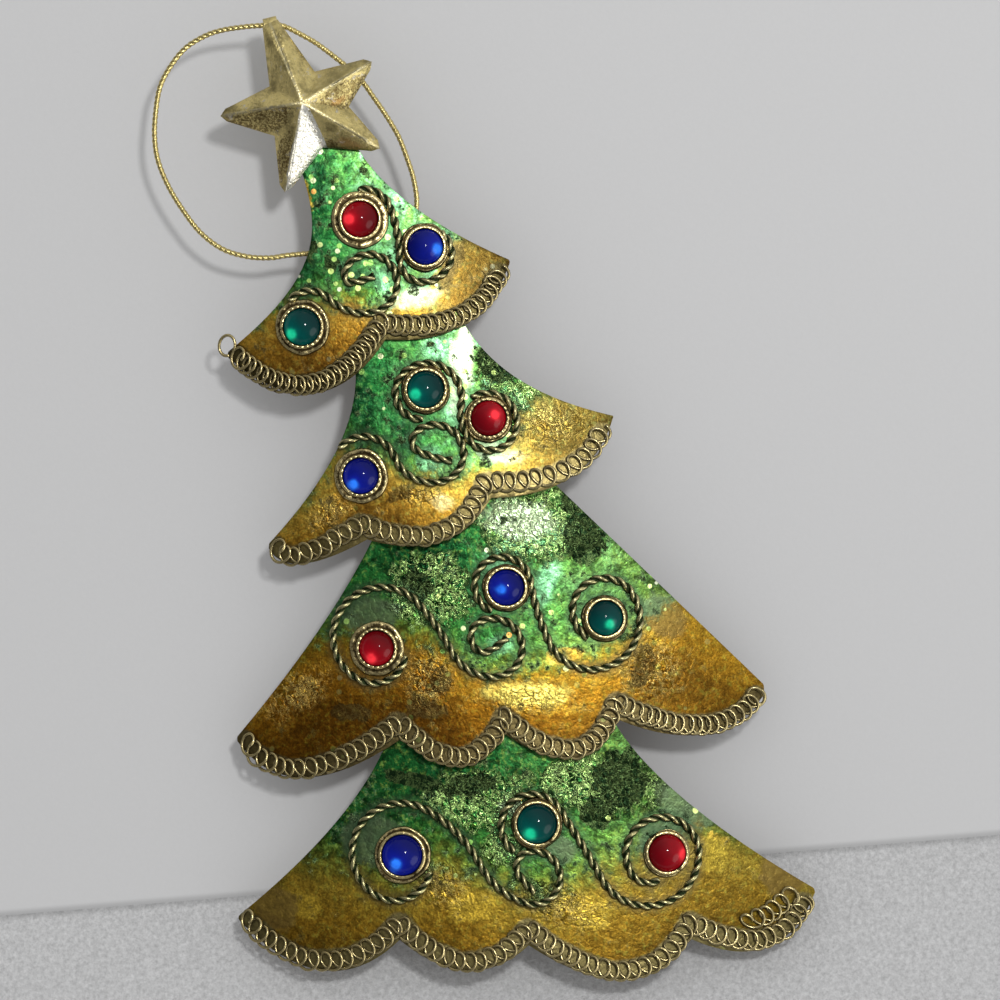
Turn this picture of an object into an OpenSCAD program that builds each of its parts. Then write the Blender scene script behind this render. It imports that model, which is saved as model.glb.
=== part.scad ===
// Hanging tree ornament made of sheet metal. Four bowed tiers overlap like shingles under a
// pressed star. Each tier has a flattened wire coil along its scalloped edge, two wire scrolls
// and three domed stones in serrated cups. A cord loop runs through an eye rolled on the star.
// The origin is the centre of that eye. X runs right, Y to the back and Z up. Millimetres.

/* [Star] */
// Thickness of the star's sheet
star_sheet = 0.4; // [0.3:0.05:0.6]
// Height of the star's peak over its rim
star_peak = 4.5; // [3:0.1:6]
// Distance from the star's centre to the middle of the eye
star_eye_reach = 13.8; // [12.5:0.1:15]
// Distance from the star's centre to the tip of its longest arm
star_arm_r = 13.9; // [11:0.1:15]
// Distance from the star's centre to its farthest valley
star_valley_r = 7.2; // [5:0.1:8]

/* [Hanging eye and cord] */
// Width of the rolled eye along its bore
eye_w = 2.2; // [1.8:0.1:2.6]
// Diameter of the eye's bore
eye_bore_d = 1.7; // [1.6:0.05:2.2]
// Slope of the eye's bore, rising to the right, degrees
eye_tilt = 14; // [10:1:16]
// Diameter of the cord
cord_d = 0.9; // [0.6:0.05:0.95]
// Diameter of the knot that closes the cord loop
knot_d = 3.2; // [2.6:0.1:4]
// Length of the cut tails below the knot
knot_tail = 3; // [1:0.5:3]

/* [Tier sheets] */
// Thickness of the tier sheets
tier_sheet = 0.45; // [0.3:0.05:0.6]
// Forward flare of every tier from its neck to its skirt, degrees
tier_flare = 2; // [1.5:0.1:2.5]
// Rounding of the sheet corners
corner_r = 0.8; // [0.4:0.1:1.2]
// Gap between the star's rim and the top tier
star_gap = 0.2; // [0.15:0.05:0.5]
// Length of the top tier that the star covers
star_overlap = 13; // [11:0.5:14]

/* [Tier 1, the top one] */
// Width across the skirt corners
tier_1_w = 47.8; // [44:0.1:52]
// Height from the skirt corners to the top of the neck
tier_1_h = 29; // [27:0.1:31]
// Reach of the neck to the left of the middle
tier_1_neck_left = 3.4; // [2.5:0.1:5]
// Reach of the neck to the right of the middle
tier_1_neck_right = 5.6; // [4:0.1:6.5]
// Radius of the bow across the tier
tier_1_bow = 85; // [75:1:95]
// Lean of the tier to the left, degrees
tier_1_lean = 18.1; // [16:0.1:20]
// Top of the neck to the right of the star's centre
tier_1_shift = 1.3; // [0.5:0.1:2]
// Top of the neck below the star's centre
tier_1_drop = 4.5; // [3.5:0.1:5.5]

/* [Tier 2] */
// Width across the skirt corners
tier_2_w = 58.9; // [55:0.1:63]
// Height from the skirt corners to the top of the neck
tier_2_h = 32; // [30:0.1:34]
// Reach of the neck to the left of the middle
tier_2_neck_left = 5.3; // [4:0.1:7]
// Reach of the neck to the right of the middle
tier_2_neck_right = 11.5; // [10:0.1:12]
// Radius of the bow across the tier
tier_2_bow = 105; // [95:1:115]
// Lean of the tier to the left, degrees
tier_2_lean = 20.4; // [18:0.1:22]
// Top of the neck to the right of the middle of the tier above
tier_2_shift = 1.1; // [0:0.1:2]
// Top of the neck over the skirt corners of the tier above
tier_2_lap = 2; // [1:0.1:4]
// Gap behind the tier above
tier_2_gap = 0.7; // [0.6:0.05:1]

/* [Tier 3] */
// Width across the skirt corners
tier_3_w = 85.2; // [80:0.1:90]
// Height from the skirt corners to the top of the neck
tier_3_h = 40; // [38:0.1:42]
// Reach of the neck to the left of the middle
tier_3_neck_left = 13; // [11:0.1:14]
// Reach of the neck to the right of the middle
tier_3_neck_right = 8.2; // [7:0.1:9]
// Radius of the bow across the tier
tier_3_bow = 140; // [130:1:155]
// Lean of the tier to the left, degrees
tier_3_lean = 5.7; // [4:0.1:8]
// Top of the neck to the right of the middle of the tier above
tier_3_shift = 6.2; // [5:0.1:7]
// Top of the neck over the skirt corners of the tier above
tier_3_lap = 0.6; // [0:0.1:2]
// Gap behind the tier above
tier_3_gap = 1.1; // [1:0.05:1.4]

/* [Tier 4, the bottom one] */
// Width across the skirt corners
tier_4_w = 93.1; // [88:0.1:98]
// Height from the skirt corners to the top of the neck
tier_4_h = 34; // [32:0.1:36]
// Reach of the neck to the left of the middle
tier_4_neck_left = 19; // [17:0.1:20]
// Reach of the neck to the right of the middle
tier_4_neck_right = 13.8; // [12:0.1:15]
// Radius of the bow across the tier
tier_4_bow = 170; // [155:1:185]
// Lean of the tier to the left, degrees
tier_4_lean = 2.9; // [1:0.1:5]
// Top of the neck to the right of the middle of the tier above
tier_4_shift = 2.6; // [2:0.1:4]
// Top of the neck over the skirt corners of the tier above
tier_4_lap = 2.8; // [2:0.1:4]
// Gap behind the tier above
tier_4_gap = 0.7; // [0.6:0.05:1]

/* [Edge coils] */
// Diameter of the coil wire
coil_wire_d = 0.45; // [0.35:0.05:0.5]
// Height of a curl along the sheet, outside
coil_curl_h = 2.9; // [2.4:0.1:3.2]
// Thickness of the flattened coil off the sheet, outside
coil_thick = 1.5; // [1.35:0.05:1.8]
// Lean of the front of each curl along the edge
coil_slant = 0.8; // [0.6:0.05:0.85]
// Distance of the coil's middle line in from the edge
coil_setback = 1.7; // [1.5:0.1:2]
// Rise of the coil's middle line over each notch
coil_notch_lift = 2.8; // [2.4:0.1:3.2]
// Curls on tier 1
coil_1_curls = 15; // [12:1:16]
// Curls on tier 2
coil_2_curls = 18; // [14:1:19]
// Curls on tier 3
coil_3_curls = 25; // [20:1:27]
// Curls on tier 4
coil_4_curls = 30; // [24:1:31]

/* [Scrolls] */
// Diameter of the scroll wire
scroll_wire_d = 1.1; // [0.8:0.05:1.15]

/* [Stones and cups] */
// Diameter of a regular domed stone
stone_d = 5.8; // [5:0.1:6]
// Height of a regular dome over its girdle
dome_h = 1.9; // [1.5:0.1:2.4]
// Height of the straight girdle of a stone
girdle_h = 0.5; // [0.3:0.05:0.8]
// Thickness of the cup metal
cup_sheet = 0.35; // [0.25:0.05:0.4]
// Height of the serrated wall over the cup floor
cup_wall_h = 1.1; // [0.9:0.05:1.3]
// Height of the raised outer lip of the cup
cup_lip_h = 0.9; // [0.6:0.05:1.2]
// Serrations around a cup
cup_teeth = 20; // [12:1:24]
// Depth of the serrations
tooth_depth = 0.4; // [0.2:0.05:0.6]
// Clearance around a stone in its cup
stone_gap = 0.05; // [0.03:0.01:0.1]

/* [Solder] */
// Bite of soldered wire and beads into the sheet
solder_bite = 0.05; // [0.03:0.01:0.1]
// Thickness of the solder film under a cup
solder_film = 0.03; // [0.02:0.01:0.05]
// Radius of the beads behind the laps
bead_r = 0.9; // [0.8:0.05:1.1]
// Length of the beads behind the laps
bead_len = 7; // [5:0.5:9]
// Radius of the solder post inside the star
post_r = 1.5; // [1.2:0.1:1.8]

/* [Hidden] */
TIERS = [0, 1, 2, 3];
COLOURS = ["red", "blue", "green"];

round_fn = 96;
bow_fn = 720;
wire_sides = 6;
cord_sides = 8;
rings_per_curl = 8;

// Sizes of the tiers, from the top one down
tier_w = [tier_1_w, tier_2_w, tier_3_w, tier_4_w];
tier_h = [tier_1_h, tier_2_h, tier_3_h, tier_4_h];
tier_bow = [tier_1_bow, tier_2_bow, tier_3_bow, tier_4_bow];
tier_lean = [tier_1_lean, tier_2_lean, tier_3_lean, tier_4_lean];
neck_left = [tier_1_neck_left, tier_2_neck_left, tier_3_neck_left, tier_4_neck_left];
neck_right = [tier_1_neck_right, tier_2_neck_right, tier_3_neck_right, tier_4_neck_right];
tier_shift = [tier_1_shift, tier_2_shift, tier_3_shift, tier_4_shift];
tier_lap = [-tier_1_drop, tier_2_lap, tier_3_lap, tier_4_lap];
tier_gap = [star_gap, tier_2_gap, tier_3_gap, tier_4_gap];
coil_curls = [coil_1_curls, coil_2_curls, coil_3_curls, coil_4_curls];

// Powers of the flank curves, larger where a flank hugs the neck
flank_left_power = [4, 2.7, 1.4, 1.7];
flank_right_power = [1.85, 2.8, 1, 1.6];

// Scalloped edges, as shares of the tier's width: notch, belly, notch and so on, left to right
edge_shares = [
    [[-0.5, -0.019], [-0.287, -0.374], [0.021, -0.128], [0.314, -0.251], [0.495, -0.009]],
    [[-0.505, -0.013], [-0.487, -0.12], [-0.244, -0.085], [-0.047, -0.231], [0.111, -0.097],
        [0.367, -0.187], [0.5, -0.003]],
    [[-0.5, -0.008], [-0.413, -0.156], [-0.192, -0.035], [-0.077, -0.153], [0.005, -0.045],
        [0.147, -0.164], [0.217, -0.038], [0.398, -0.135], [0.499, -0.019]],
    [[-0.5, 0], [-0.353, -0.169], [-0.219, -0.051], [-0.101, -0.158], [0.002, -0.071],
        [0.185, -0.205], [0.281, -0.075], [0.434, -0.153], [0.501, -0.007]]
];

// Places of the red, blue and green stone on each tier, as shares of the trim unit
stone_place_shares = [
    [[0.44, 1.94], [1.66, 0.87], [-1.59, -0.01]],
    [[1.52, 0.92], [-1.69, 0.7], [0.4, 2.05]],
    [[-2.69, 1.72], [0.42, 2.82], [2.62, 1.89]],
    [[3.32, 1.01], [-2.78, 1.27], [0.36, 1.84]]
];
// Sizes of the stones as shares of the regular stone
stone_size_shares = [[1, 1, 1.04], [0.98, 1, 1.02], [0.98, 1, 0.97], [1.04, 1.14, 1.1]];
// Sizes of the cups as shares of the regular stone
cup_size_shares = [[1.42, 1.16, 1.3], [1.18, 1.4, 1.22], [1.36, 1.18, 1.16], [1.24, 1.42, 1.24]];

// Scrolls as bends. Each starts at a place and heading, then bends with a radius and a turn.
// Places and radii are shares of the trim unit, turns are degrees, positive to the left.
scroll_start_shares = [
    [[-1.69, 0.66], [0.63, 2.61]],
    [[-1.95, 1.48], [0.11, 1.43]],
    [[-2.06, 1.48], [0.04, 2.32]],
    [[-2.16, 0.85], [-0.19, 1.23]]
];
scroll_headings = [[33, -9], [30, 162], [-104, 152], [-105, 142]];
scroll_bend_shares = [
    [[[0.62, -97], [1.11, 57], [0.69, 126], [0.67, 93], [0.32, 227]],
        [[0.76, -17], [0.63, -61], [3.42, -20], [0.57, 88], [0.76, 65], [0.59, 81]]],
    [[[0.76, -119], [0.93, 87], [0.58, 14], [0.67, 185], [0.33, 198]],
        [[0.62, -133], [0.79, -148], [1.3, 35], [0.61, 120], [0.68, 156]]],
    [[[0.74, -110], [1.14, -200], [5.67, -14], [1.06, 62], [0.68, 204], [0.38, 221]],
        [[0.65, -238], [5.75, 15], [1.09, 103], [1.16, 86], [0.75, 205]]],
    [[[0.84, -107], [1.15, -179], [3.13, -34], [1.84, 43], [0.62, 207], [0.34, 173]],
        [[0.73, -201], [22.13, -5], [1.2, 152], [0.85, 211], [0.47, 89]]]
];
scroll_ring_turn = 20;
scroll_ring_share = 0.35;

// Angles of the star's arms and valleys, counted to the left from straight up, and their sizes
// as shares of the longest arm and the farthest valley. The first arm carries the eye.
star_arm_angles = [22.2, 98, 168, 240, 302];
star_arm_shares = [1, 0.935, 1, 0.985, 0.9];
star_valley_angles = [62, 138, 205, 267, 341];
star_valley_shares = [0.8, 0.9, 1, 0.96, 0.72];

// Route of the cord loop from the knot, up the left side, through the eye and down the right
cord_route = [
    [17.4, 1.9, -35.4], [14.8, 1.9, -35.8], [11, 1.8, -36.1], [7, 1.7, -36.4], [2.6, 1.5, -36.8],
    [-0.2, 1.3, -37.2], [-3.9, 1.3, -37], [-7.8, 1.3, -35.8], [-11.3, 1.3, -33.2],
    [-14.2, 1.3, -29.5], [-16.6, 1.3, -25.5], [-18.2, 1.3, -21.4], [-18.7, 1.3, -17.6],
    [-18.5, 1.3, -13.7], [-17.8, 1.2, -9.8], [-16.1, 1.1, -6.5], [-13.7, 1, -3.6],
    [-10.6, 0.7, -1.7], [-7.8, 0.4, -0.8], [-4.4, 0.1, -0.3], [-1.8, 0, -0.1], [0, 0, 0],
    [1.3, 0, 0], [2.6, 0, -0.4], [4.6, 0.2, -1.4], [7.1, 0.5, -2.8], [9.7, 0.8, -4.7],
    [12.2, 1, -6.7], [14.6, 1.1, -9], [16.4, 1.2, -11.5], [18.4, 1.3, -14.4],
    [20.4, 1.3, -17.8], [21.8, 1.4, -21.4], [22.8, 1.5, -24.6], [23.3, 1.7, -28.2],
    [22.7, 1.8, -31.4], [21, 1.9, -33.8], [19.4, 1.9, -34.9]
];
cord_rings_per_step = 2;
tail_splay = 12;

// Derived places
eye_r = eye_bore_d / 2 + star_sheet;
roll_sink = star_sheet / 20;
star_at = star_eye_reach * [sin(star_arm_angles[0]), -cos(star_arm_angles[0])];
star_rim_y = roll_sink - eye_r;
star_back_y = star_rim_y + star_sheet;
cut = star_sheet;
// The trim of every tier is laid out in this unit, the room of one stone and one wire
trim_unit = stone_d + scroll_wire_d;
cup_floor = solder_film + cup_sheet;
coil_reach = (coil_curl_h - coil_wire_d) / 2;
coil_depth = (coil_thick - coil_wire_d) / 2;

// Turns a flat vector (x, z) to the left by an angle
function turned(a, v) = [v.x * cos(a) - v.y * sin(a), v.x * sin(a) + v.y * cos(a)];

// Middle of the skirt line of a tier, hung by its neck from the piece above
function neck_at(i) = i == 0
    ? star_at + [tier_shift[0], tier_lap[0]]
    : tier_at(i - 1) + turned(tier_lean[i - 1], [tier_shift[i], tier_lap[i]]);
function tier_at(i) = neck_at(i) - turned(tier_lean[i], [0, tier_h[i]]);

// Depth of the front of a tier on its skirt line
function tier_y(i) = i == 0
    ? star_back_y + star_gap - (tier_h[0] - star_overlap) * sin(tier_flare)
    : tier_y(i - 1) + tier_sheet + tier_gap[i] - (tier_h[i] - tier_lap[i]) * sin(tier_flare);

// Depth of the bowed front at a place across the tier
function bow_y(i, x) = tier_bow[i] - sqrt(tier_bow[i] * tier_bow[i] - x * x);
function bow_angle(i, x) = asin(x / tier_bow[i]);
function on_tier(i, p, rise) = [p.x, bow_y(i, p.x) - rise, p.y];

function curve(a, c, b, t) = (1 - t) * (1 - t) * a + 2 * t * (1 - t) * c + t * t * b;

// Flank of a tier at a height over the skirt line
function flank(i, z, reach, power) =
    reach + (tier_w[i] / 2 - reach) * pow(1 - z / tier_h[i], power);

// Outline of a tier: along the scallops, up the right flank and down the left one
edge_steps = 8;
flank_steps = 14;
function edge_points(i) = let(e = tier_w[i] * edge_shares[i], n = (len(e) - 1) / 2) [
    for (k = [0 : n - 1], j = [0 : edge_steps - 1])
        curve(e[2 * k], e[2 * k + 1], e[2 * k + 2], j / edge_steps),
    e[2 * n]
];
function right_points(i) = [
    for (j = [0 : flank_steps]) let(z = tier_h[i] * j / flank_steps)
        [flank(i, z, neck_right[i], flank_right_power[i]), z]
];
function left_points(i) = [
    for (j = [flank_steps : -1 : 0]) let(z = tier_h[i] * j / flank_steps)
        [-flank(i, z, neck_left[i], flank_left_power[i]), z]
];

// Middle line of the edge coil: the edge moved in by the setback, lifted over the notches
coil_steps = 12;
function coil_notch(i, k) = let(e = tier_w[i] * edge_shares[i], last = len(e) - 1)
    k == 0 ? e[0] + [coil_setback, 0]
    : k == last ? e[last] - [coil_setback, 0]
    : e[k] + [0, coil_notch_lift];
function coil_belly(i, k) = let(
        e = tier_w[i] * edge_shares[i],
        left = k == 1 ? 0 : coil_notch_lift,
        right = k == len(e) - 2 ? 0 : coil_notch_lift
    ) e[k] + [0, 2 * coil_setback - (left + right) / 2];
function coil_line(i) = let(n = (len(edge_shares[i]) - 1) / 2) [
    for (k = [0 : n - 1], j = [0 : coil_steps - 1])
        curve(coil_notch(i, 2 * k), coil_belly(i, 2 * k + 1), coil_notch(i, 2 * k + 2), j / coil_steps),
    coil_notch(i, 2 * n)
];

// Lengths along a line of points, and the place at a length
function lengths(p) = [
    for (k = 0, s = 0; k < len(p); s = s + (k < len(p) - 1 ? norm(p[k + 1] - p[k]) : 0), k = k + 1) s
];
function at_length(p, lens, s) = [
    lookup(s, [for (k = [0 : len(p) - 1]) [lens[k], p[k].x]]),
    lookup(s, [for (k = [0 : len(p) - 1]) [lens[k], p[k].y]])
];

// Middle points of a flattened coil, with a straight lead one wire long at both ends
function coil_points(i) = let(
        line = coil_line(i),
        lens = lengths(line),
        total = lens[len(lens) - 1],
        n = rings_per_curl * coil_curls[i],
        curls = [
            for (k = [0 : n]) let(
                s = total * k / n,
                a = 360 * k / rings_per_curl,
                ahead = at_length(line, lens, min(total, s + coil_curl_h)),
                behind = at_length(line, lens, max(0, s - coil_curl_h)),
                along = (ahead - behind) / norm(ahead - behind),
                up = [-along.y, along.x],
                p = at_length(line, lens, s) + along * coil_slant * cos(a) + up * coil_reach * sin(a)
            ) on_tier(i, p, coil_depth * (1 + cos(a)) + coil_wire_d / 2 - solder_bite)
        ],
        first = (curls[0] - curls[1]) / norm(curls[0] - curls[1]),
        last = (curls[n] - curls[n - 1]) / norm(curls[n] - curls[n - 1])
    ) concat([curls[0] + first * coil_wire_d], curls, [curls[n] + last * coil_wire_d]);

// Least gap between one stretch of a coil and the stretches at least half a curl away
function coil_gap(p) = min([
    for (k = [0 : len(p) - 1], m = [k + rings_per_curl / 2 : 1 : len(p) - 1]) norm(p[k] - p[m])
]) - coil_wire_d;

// Middle points of a scroll, from its bends
function bend_steps(b) = max(
    ceil(abs(b[1]) / scroll_ring_turn),
    ceil(b[0] * abs(b[1]) * PI / 180 / scroll_ring_share)
);
function bend_end(at, heading, b) = let(side = sign(b[1]), r = b[0])
    at + turned(heading, [r * sin(abs(b[1])), side * r * (1 - cos(b[1]))]);
function bend_points(at, heading, bends, k = 0) = k == len(bends) ? [] : let(
        b = bends[k],
        n = bend_steps(b)
    ) concat(
        [for (j = [1 : n]) bend_end(at, heading, [b[0], b[1] * j / n])],
        bend_points(bend_end(at, heading, b), heading + b[1], bends, k + 1)
    );
function scroll_points(i, k) = let(
        at = scroll_start_shares[i][k],
        flat = concat([at], bend_points(at, scroll_headings[i][k], scroll_bend_shares[i][k]))
    ) [for (p = flat) on_tier(i, trim_unit * p, scroll_wire_d / 2 - solder_bite)];

// Smooth line through the cord's route
function through(p, k, t) = let(
        a = p[max(k - 1, 0)], b = p[k], c = p[k + 1], d = p[min(k + 2, len(p) - 1)]
    ) (2 * b + (c - a) * t + (2 * a - 5 * b + 4 * c - d) * t * t
        + (3 * b - a - 3 * c + d) * t * t * t) / 2;
cord_line = [
    for (k = [0 : len(cord_route) - 2], j = [0 : cord_rings_per_step - 1])
        through(cord_route, k, j / cord_rings_per_step),
    cord_route[len(cord_route) - 1]
];
cord_length = lengths(cord_line)[len(cord_line) - 1];
knot_at = (cord_route[0] + cord_route[len(cord_route) - 1]) / 2;

// One closed tube along a line of points. The sides start from the reference direction.
module tube(p, side_ways, r, sides) {
    n = len(p);
    rings = [
        for (k = [0 : n - 1]) let(
            t = p[min(k + 1, n - 1)] - p[max(k - 1, 0)],
            along = t / norm(t),
            s = side_ways[k] - along * (side_ways[k] * along),
            side = s / norm(s),
            up = cross(along, side)
        ) for (j = [0 : sides - 1]) let(a = 360 * j / sides)
            p[k] + r * (side * cos(a) + up * sin(a))
    ];
    faces = concat(
        [for (j = [1 : sides - 2]) [0, j, j + 1]],
        [for (j = [1 : sides - 2]) let(f = (n - 1) * sides) [f, f + j + 1, f + j]],
        [for (k = [0 : n - 2], j = [0 : sides - 1]) let(
            a = k * sides + j,
            b = k * sides + (j + 1) % sides
        ) [a, a + sides, b + sides]],
        [for (k = [0 : n - 2], j = [0 : sides - 1]) let(
            a = k * sides + j,
            b = k * sides + (j + 1) % sides
        ) [a, b + sides, b]]
    );
    polyhedron(points = rings, faces = faces, convexity = 10);
}

module on_frame(i) {
    at = tier_at(i);
    translate([at.x, tier_y(i), at.y])
        rotate([0, -tier_lean[i], 0])
            rotate([-tier_flare, 0, 0])
                children();
}

// Everything behind the front of a tier, or behind its back when inset by the sheet
module behind_tier(i, inset) {
    reach = tier_w[i] + inset;
    translate([0, tier_bow[i], 0])
        cylinder(r = tier_bow[i] - inset, h = 2 * reach, center = true, $fn = bow_fn);
}

module tier_outline(i) {
    offset(r = corner_r, $fn = round_fn / 4)
        offset(delta = -corner_r)
            polygon(concat(edge_points(i), right_points(i), left_points(i)));
}

module tier_plate(i) {
    deep = bow_y(i, tier_w[i] / 2) + tier_bow[i] / 4;
    on_frame(i)
        intersection() {
            translate([0, deep, 0])
                rotate([90, 0, 0])
                    linear_extrude(height = deep + cut)
                        tier_outline(i);
            difference() {
                behind_tier(i, 0);
                behind_tier(i, tier_sheet);
            }
        }
}

// Star plate: one folded sheet with a ridge to every arm, hollow behind
module star_plate() {
    arms = [for (k = [0 : 4]) let(
        a = star_arm_angles[k],
        v = star_valley_angles[k],
        tip = k == 0
            ? [turned(a, [eye_w / 2, star_eye_reach]), turned(a, [-eye_w / 2, star_eye_reach])]
            : [turned(a, [0, star_arm_r * star_arm_shares[k]])]
    ) concat(tip, [turned(v, [0, star_valley_r * star_valley_shares[k]])])];
    rim = [for (arm = arms) for (p = arm) p];
    n = len(rim);
    points = concat(
        [for (p = rim) [p.x, 0, p.y]],
        [for (p = rim) [p.x, star_sheet, p.y]],
        [[0, -star_peak, 0], [0, star_sheet - star_peak, 0]]
    );
    faces = concat(
        [for (k = [0 : n - 1]) [2 * n, (k + 1) % n, k]],
        [for (k = [0 : n - 1]) [2 * n + 1, n + k, n + (k + 1) % n]],
        [for (k = [0 : n - 1]) [k, (k + 1) % n, n + (k + 1) % n]],
        [for (k = [0 : n - 1]) [k, n + (k + 1) % n, n + k]]
    );
    polyhedron(points = points, faces = faces, convexity = 6);
}

module star() {
    color("tan")
        difference() {
            union() {
                translate([star_at.x, star_rim_y, star_at.y])
                    star_plate();
                rotate([0, 90 - eye_tilt, 0])
                    cylinder(r = eye_r, h = eye_w, center = true, $fn = round_fn);
            }
            rotate([0, 90 - eye_tilt, 0])
                cylinder(d = eye_bore_d, h = 2 * eye_w, center = true, $fn = round_fn);
        }
}

module hanging_cord() {
    echo(cord_length_mm = cord_length);
    color("goldenrod")
        tube(cord_line, [for (p = cord_line) [0, -1, 0]], cord_d / 2, cord_sides);
}

// Overhand knot with its two cut tails
module cord_knot() {
    color("goldenrod")
        union() {
            translate(knot_at)
                sphere(d = knot_d, $fn = round_fn / 2);
            for (side = [-1, 1])
                translate(knot_at)
                    rotate([0, -side * tail_splay, 0])
                        translate([side * cord_d * 0.6, 0, -knot_d / 2 - knot_tail])
                            cylinder(d = cord_d, h = knot_d / 2 + knot_tail, $fn = round_fn / 4);
        }
}

module tier(i, tint) {
    color(tint)
        tier_plate(i);
}

module edge_coil(i) {
    p = coil_points(i);
    echo(coil = i + 1, least_gap_mm = coil_gap(p));
    line = coil_line(i);
    lens = lengths(line);
    total = lens[len(lens) - 1];
    n = rings_per_curl * coil_curls[i];
    // Radial directions of the curls, so that the sides never twist
    out = [
        for (k = [-1 : n + 1]) let(
            m = min(max(k, 0), n),
            s = total * m / n,
            c = at_length(line, lens, s)
        ) p[m + 1] - on_tier(i, c, coil_depth + coil_wire_d / 2 - solder_bite)
    ];
    color("darkgoldenrod")
        on_frame(i)
            tube(p, out, coil_wire_d / 2, wire_sides);
}

module scroll(i, k) {
    p = scroll_points(i, k);
    color("darkolivegreen")
        on_frame(i)
            tube(p, [for (q = p) [0, -1, 0]], scroll_wire_d / 2, wire_sides);
}

// Stands a shape on a tier, its own Z pointing straight off the bowed sheet
module on_place(i, k) {
    at = trim_unit * stone_place_shares[i][k];
    on_frame(i)
        translate(on_tier(i, at, 0))
            rotate([0, 0, bow_angle(i, at.x)])
                rotate([90, 0, 0])
                    children();
}

function stone_r(i, k) = stone_d / 2 * stone_size_shares[i][k];
function cup_r(i, k) = stone_d / 2 * cup_size_shares[i][k];

// Cup: a floor with a raised lip and a serrated wall that grips the stone
module cup(i, k) {
    r = stone_r(i, k) + stone_gap;
    edge = cup_r(i, k);
    top = cup_floor + cup_wall_h;
    color("peru")
        on_place(i, k)
            difference() {
                union() {
                    rotate_extrude($fn = round_fn)
                        polygon([
                            [0, solder_film], [edge, solder_film], [edge, cup_lip_h],
                            [edge - cup_sheet / 2, cup_lip_h],
                            [max(edge - cup_sheet, r), cup_floor], [0, cup_floor]
                        ]);
                    rotate_extrude($fn = round_fn)
                        polygon([
                            [r, cup_floor - cup_sheet / 2], [r + cup_sheet, cup_floor - cup_sheet / 2],
                            [r + cup_sheet / 2, top], [r, top]
                        ]);
                }
                for (t = [0 : cup_teeth - 1])
                    rotate([0, 0, 360 * t / cup_teeth])
                        translate([r - cut, 0, top])
                            rotate([0, 90, 0])
                                cylinder(r = tooth_depth, h = 2 * cut + cup_sheet, $fn = 4);
            }
}

// Domed stone with a straight girdle
module stone(i, k, tint) {
    r = stone_r(i, k);
    rise = dome_h * stone_size_shares[i][k];
    ball = (r * r + rise * rise) / (2 * rise);
    base = cup_floor + stone_gap;
    color(tint)
        on_place(i, k)
            translate([0, 0, base])
                union() {
                    cylinder(r = r, h = girdle_h, $fn = round_fn);
                    translate([0, 0, girdle_h])
                        intersection() {
                            translate([0, 0, rise - ball])
                                sphere(r = ball, $fn = round_fn);
                            cylinder(r = r, h = rise + cut, $fn = round_fn);
                        }
                }
}

// Post of solder between the top tier's neck and the hollow of the star
module star_solder() {
    at = star_at + turned(tier_lean[0], [0, -tier_1_drop + post_r / 2]);
    back = tier_y(0) + tier_h[0] * sin(tier_flare) + solder_bite;
    front = star_rim_y - star_peak / 3;
    color("silver")
        translate([at.x, back, at.y])
            rotate([90, 0, 0])
                cylinder(r1 = post_r, r2 = post_r * 0.6, h = back - front, $fn = round_fn / 2);
}

// Bead of solder along the top of a neck, against the back of the tier above
module lap_solder(i) {
    middle = (neck_right[i] - neck_left[i]) / 2;
    color("silver")
        intersection() {
            on_frame(i)
                translate([middle - bead_len / 2, tier_sheet / 2, tier_h[i]])
                    rotate([0, 90, 0])
                        cylinder(r = bead_r, h = bead_len, $fn = round_fn / 2);
            on_frame(i - 1)
                behind_tier(i - 1, tier_sheet - solder_bite);
        }
}

star();
hanging_cord();
cord_knot();
tier(0, "seagreen");  // tier_1
tier(1, "seagreen");  // tier_2
tier(2, "olivedrab");  // tier_3
tier(3, "goldenrod");  // tier_4
edge_coil(0);  // edge_coil_1
edge_coil(1);  // edge_coil_2
edge_coil(2);  // edge_coil_3
edge_coil(3);  // edge_coil_4
scroll(0, 0);  // scroll_1a
scroll(0, 1);  // scroll_1b
scroll(1, 0);  // scroll_2a
scroll(1, 1);  // scroll_2b
scroll(2, 0);  // scroll_3a
scroll(2, 1);  // scroll_3b
scroll(3, 0);  // scroll_4a
scroll(3, 1);  // scroll_4b
cup(0, 0);  // cup_1_red
cup(0, 1);  // cup_1_blue
cup(0, 2);  // cup_1_green
cup(1, 0);  // cup_2_red
cup(1, 1);  // cup_2_blue
cup(1, 2);  // cup_2_green
cup(2, 0);  // cup_3_red
cup(2, 1);  // cup_3_blue
cup(2, 2);  // cup_3_green
cup(3, 0);  // cup_4_red
cup(3, 1);  // cup_4_blue
cup(3, 2);  // cup_4_green
stone(0, 0, "crimson");  // stone_1_red
stone(0, 1, "mediumblue");  // stone_1_blue
stone(0, 2, "teal");  // stone_1_green
stone(1, 0, "crimson");  // stone_2_red
stone(1, 1, "mediumblue");  // stone_2_blue
stone(1, 2, "teal");  // stone_2_green
stone(2, 0, "crimson");  // stone_3_red
stone(2, 1, "mediumblue");  // stone_3_blue
stone(2, 2, "teal");  // stone_3_green
stone(3, 0, "crimson");  // stone_4_red
stone(3, 1, "mediumblue");  // stone_4_blue
stone(3, 2, "teal");  // stone_4_green
star_solder();
lap_solder(1);  // lap_solder_2
lap_solder(2);  // lap_solder_3
lap_solder(3);  // lap_solder_4
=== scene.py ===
"""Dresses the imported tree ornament: leafed sheets, wire trim, cups, stones, star and cord.

The shape tables repeat the sizes of the solids, in millimetres and in the row's frame. Every
piece is made at its place in the frame, so its object sits at the origin.
"""

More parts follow.
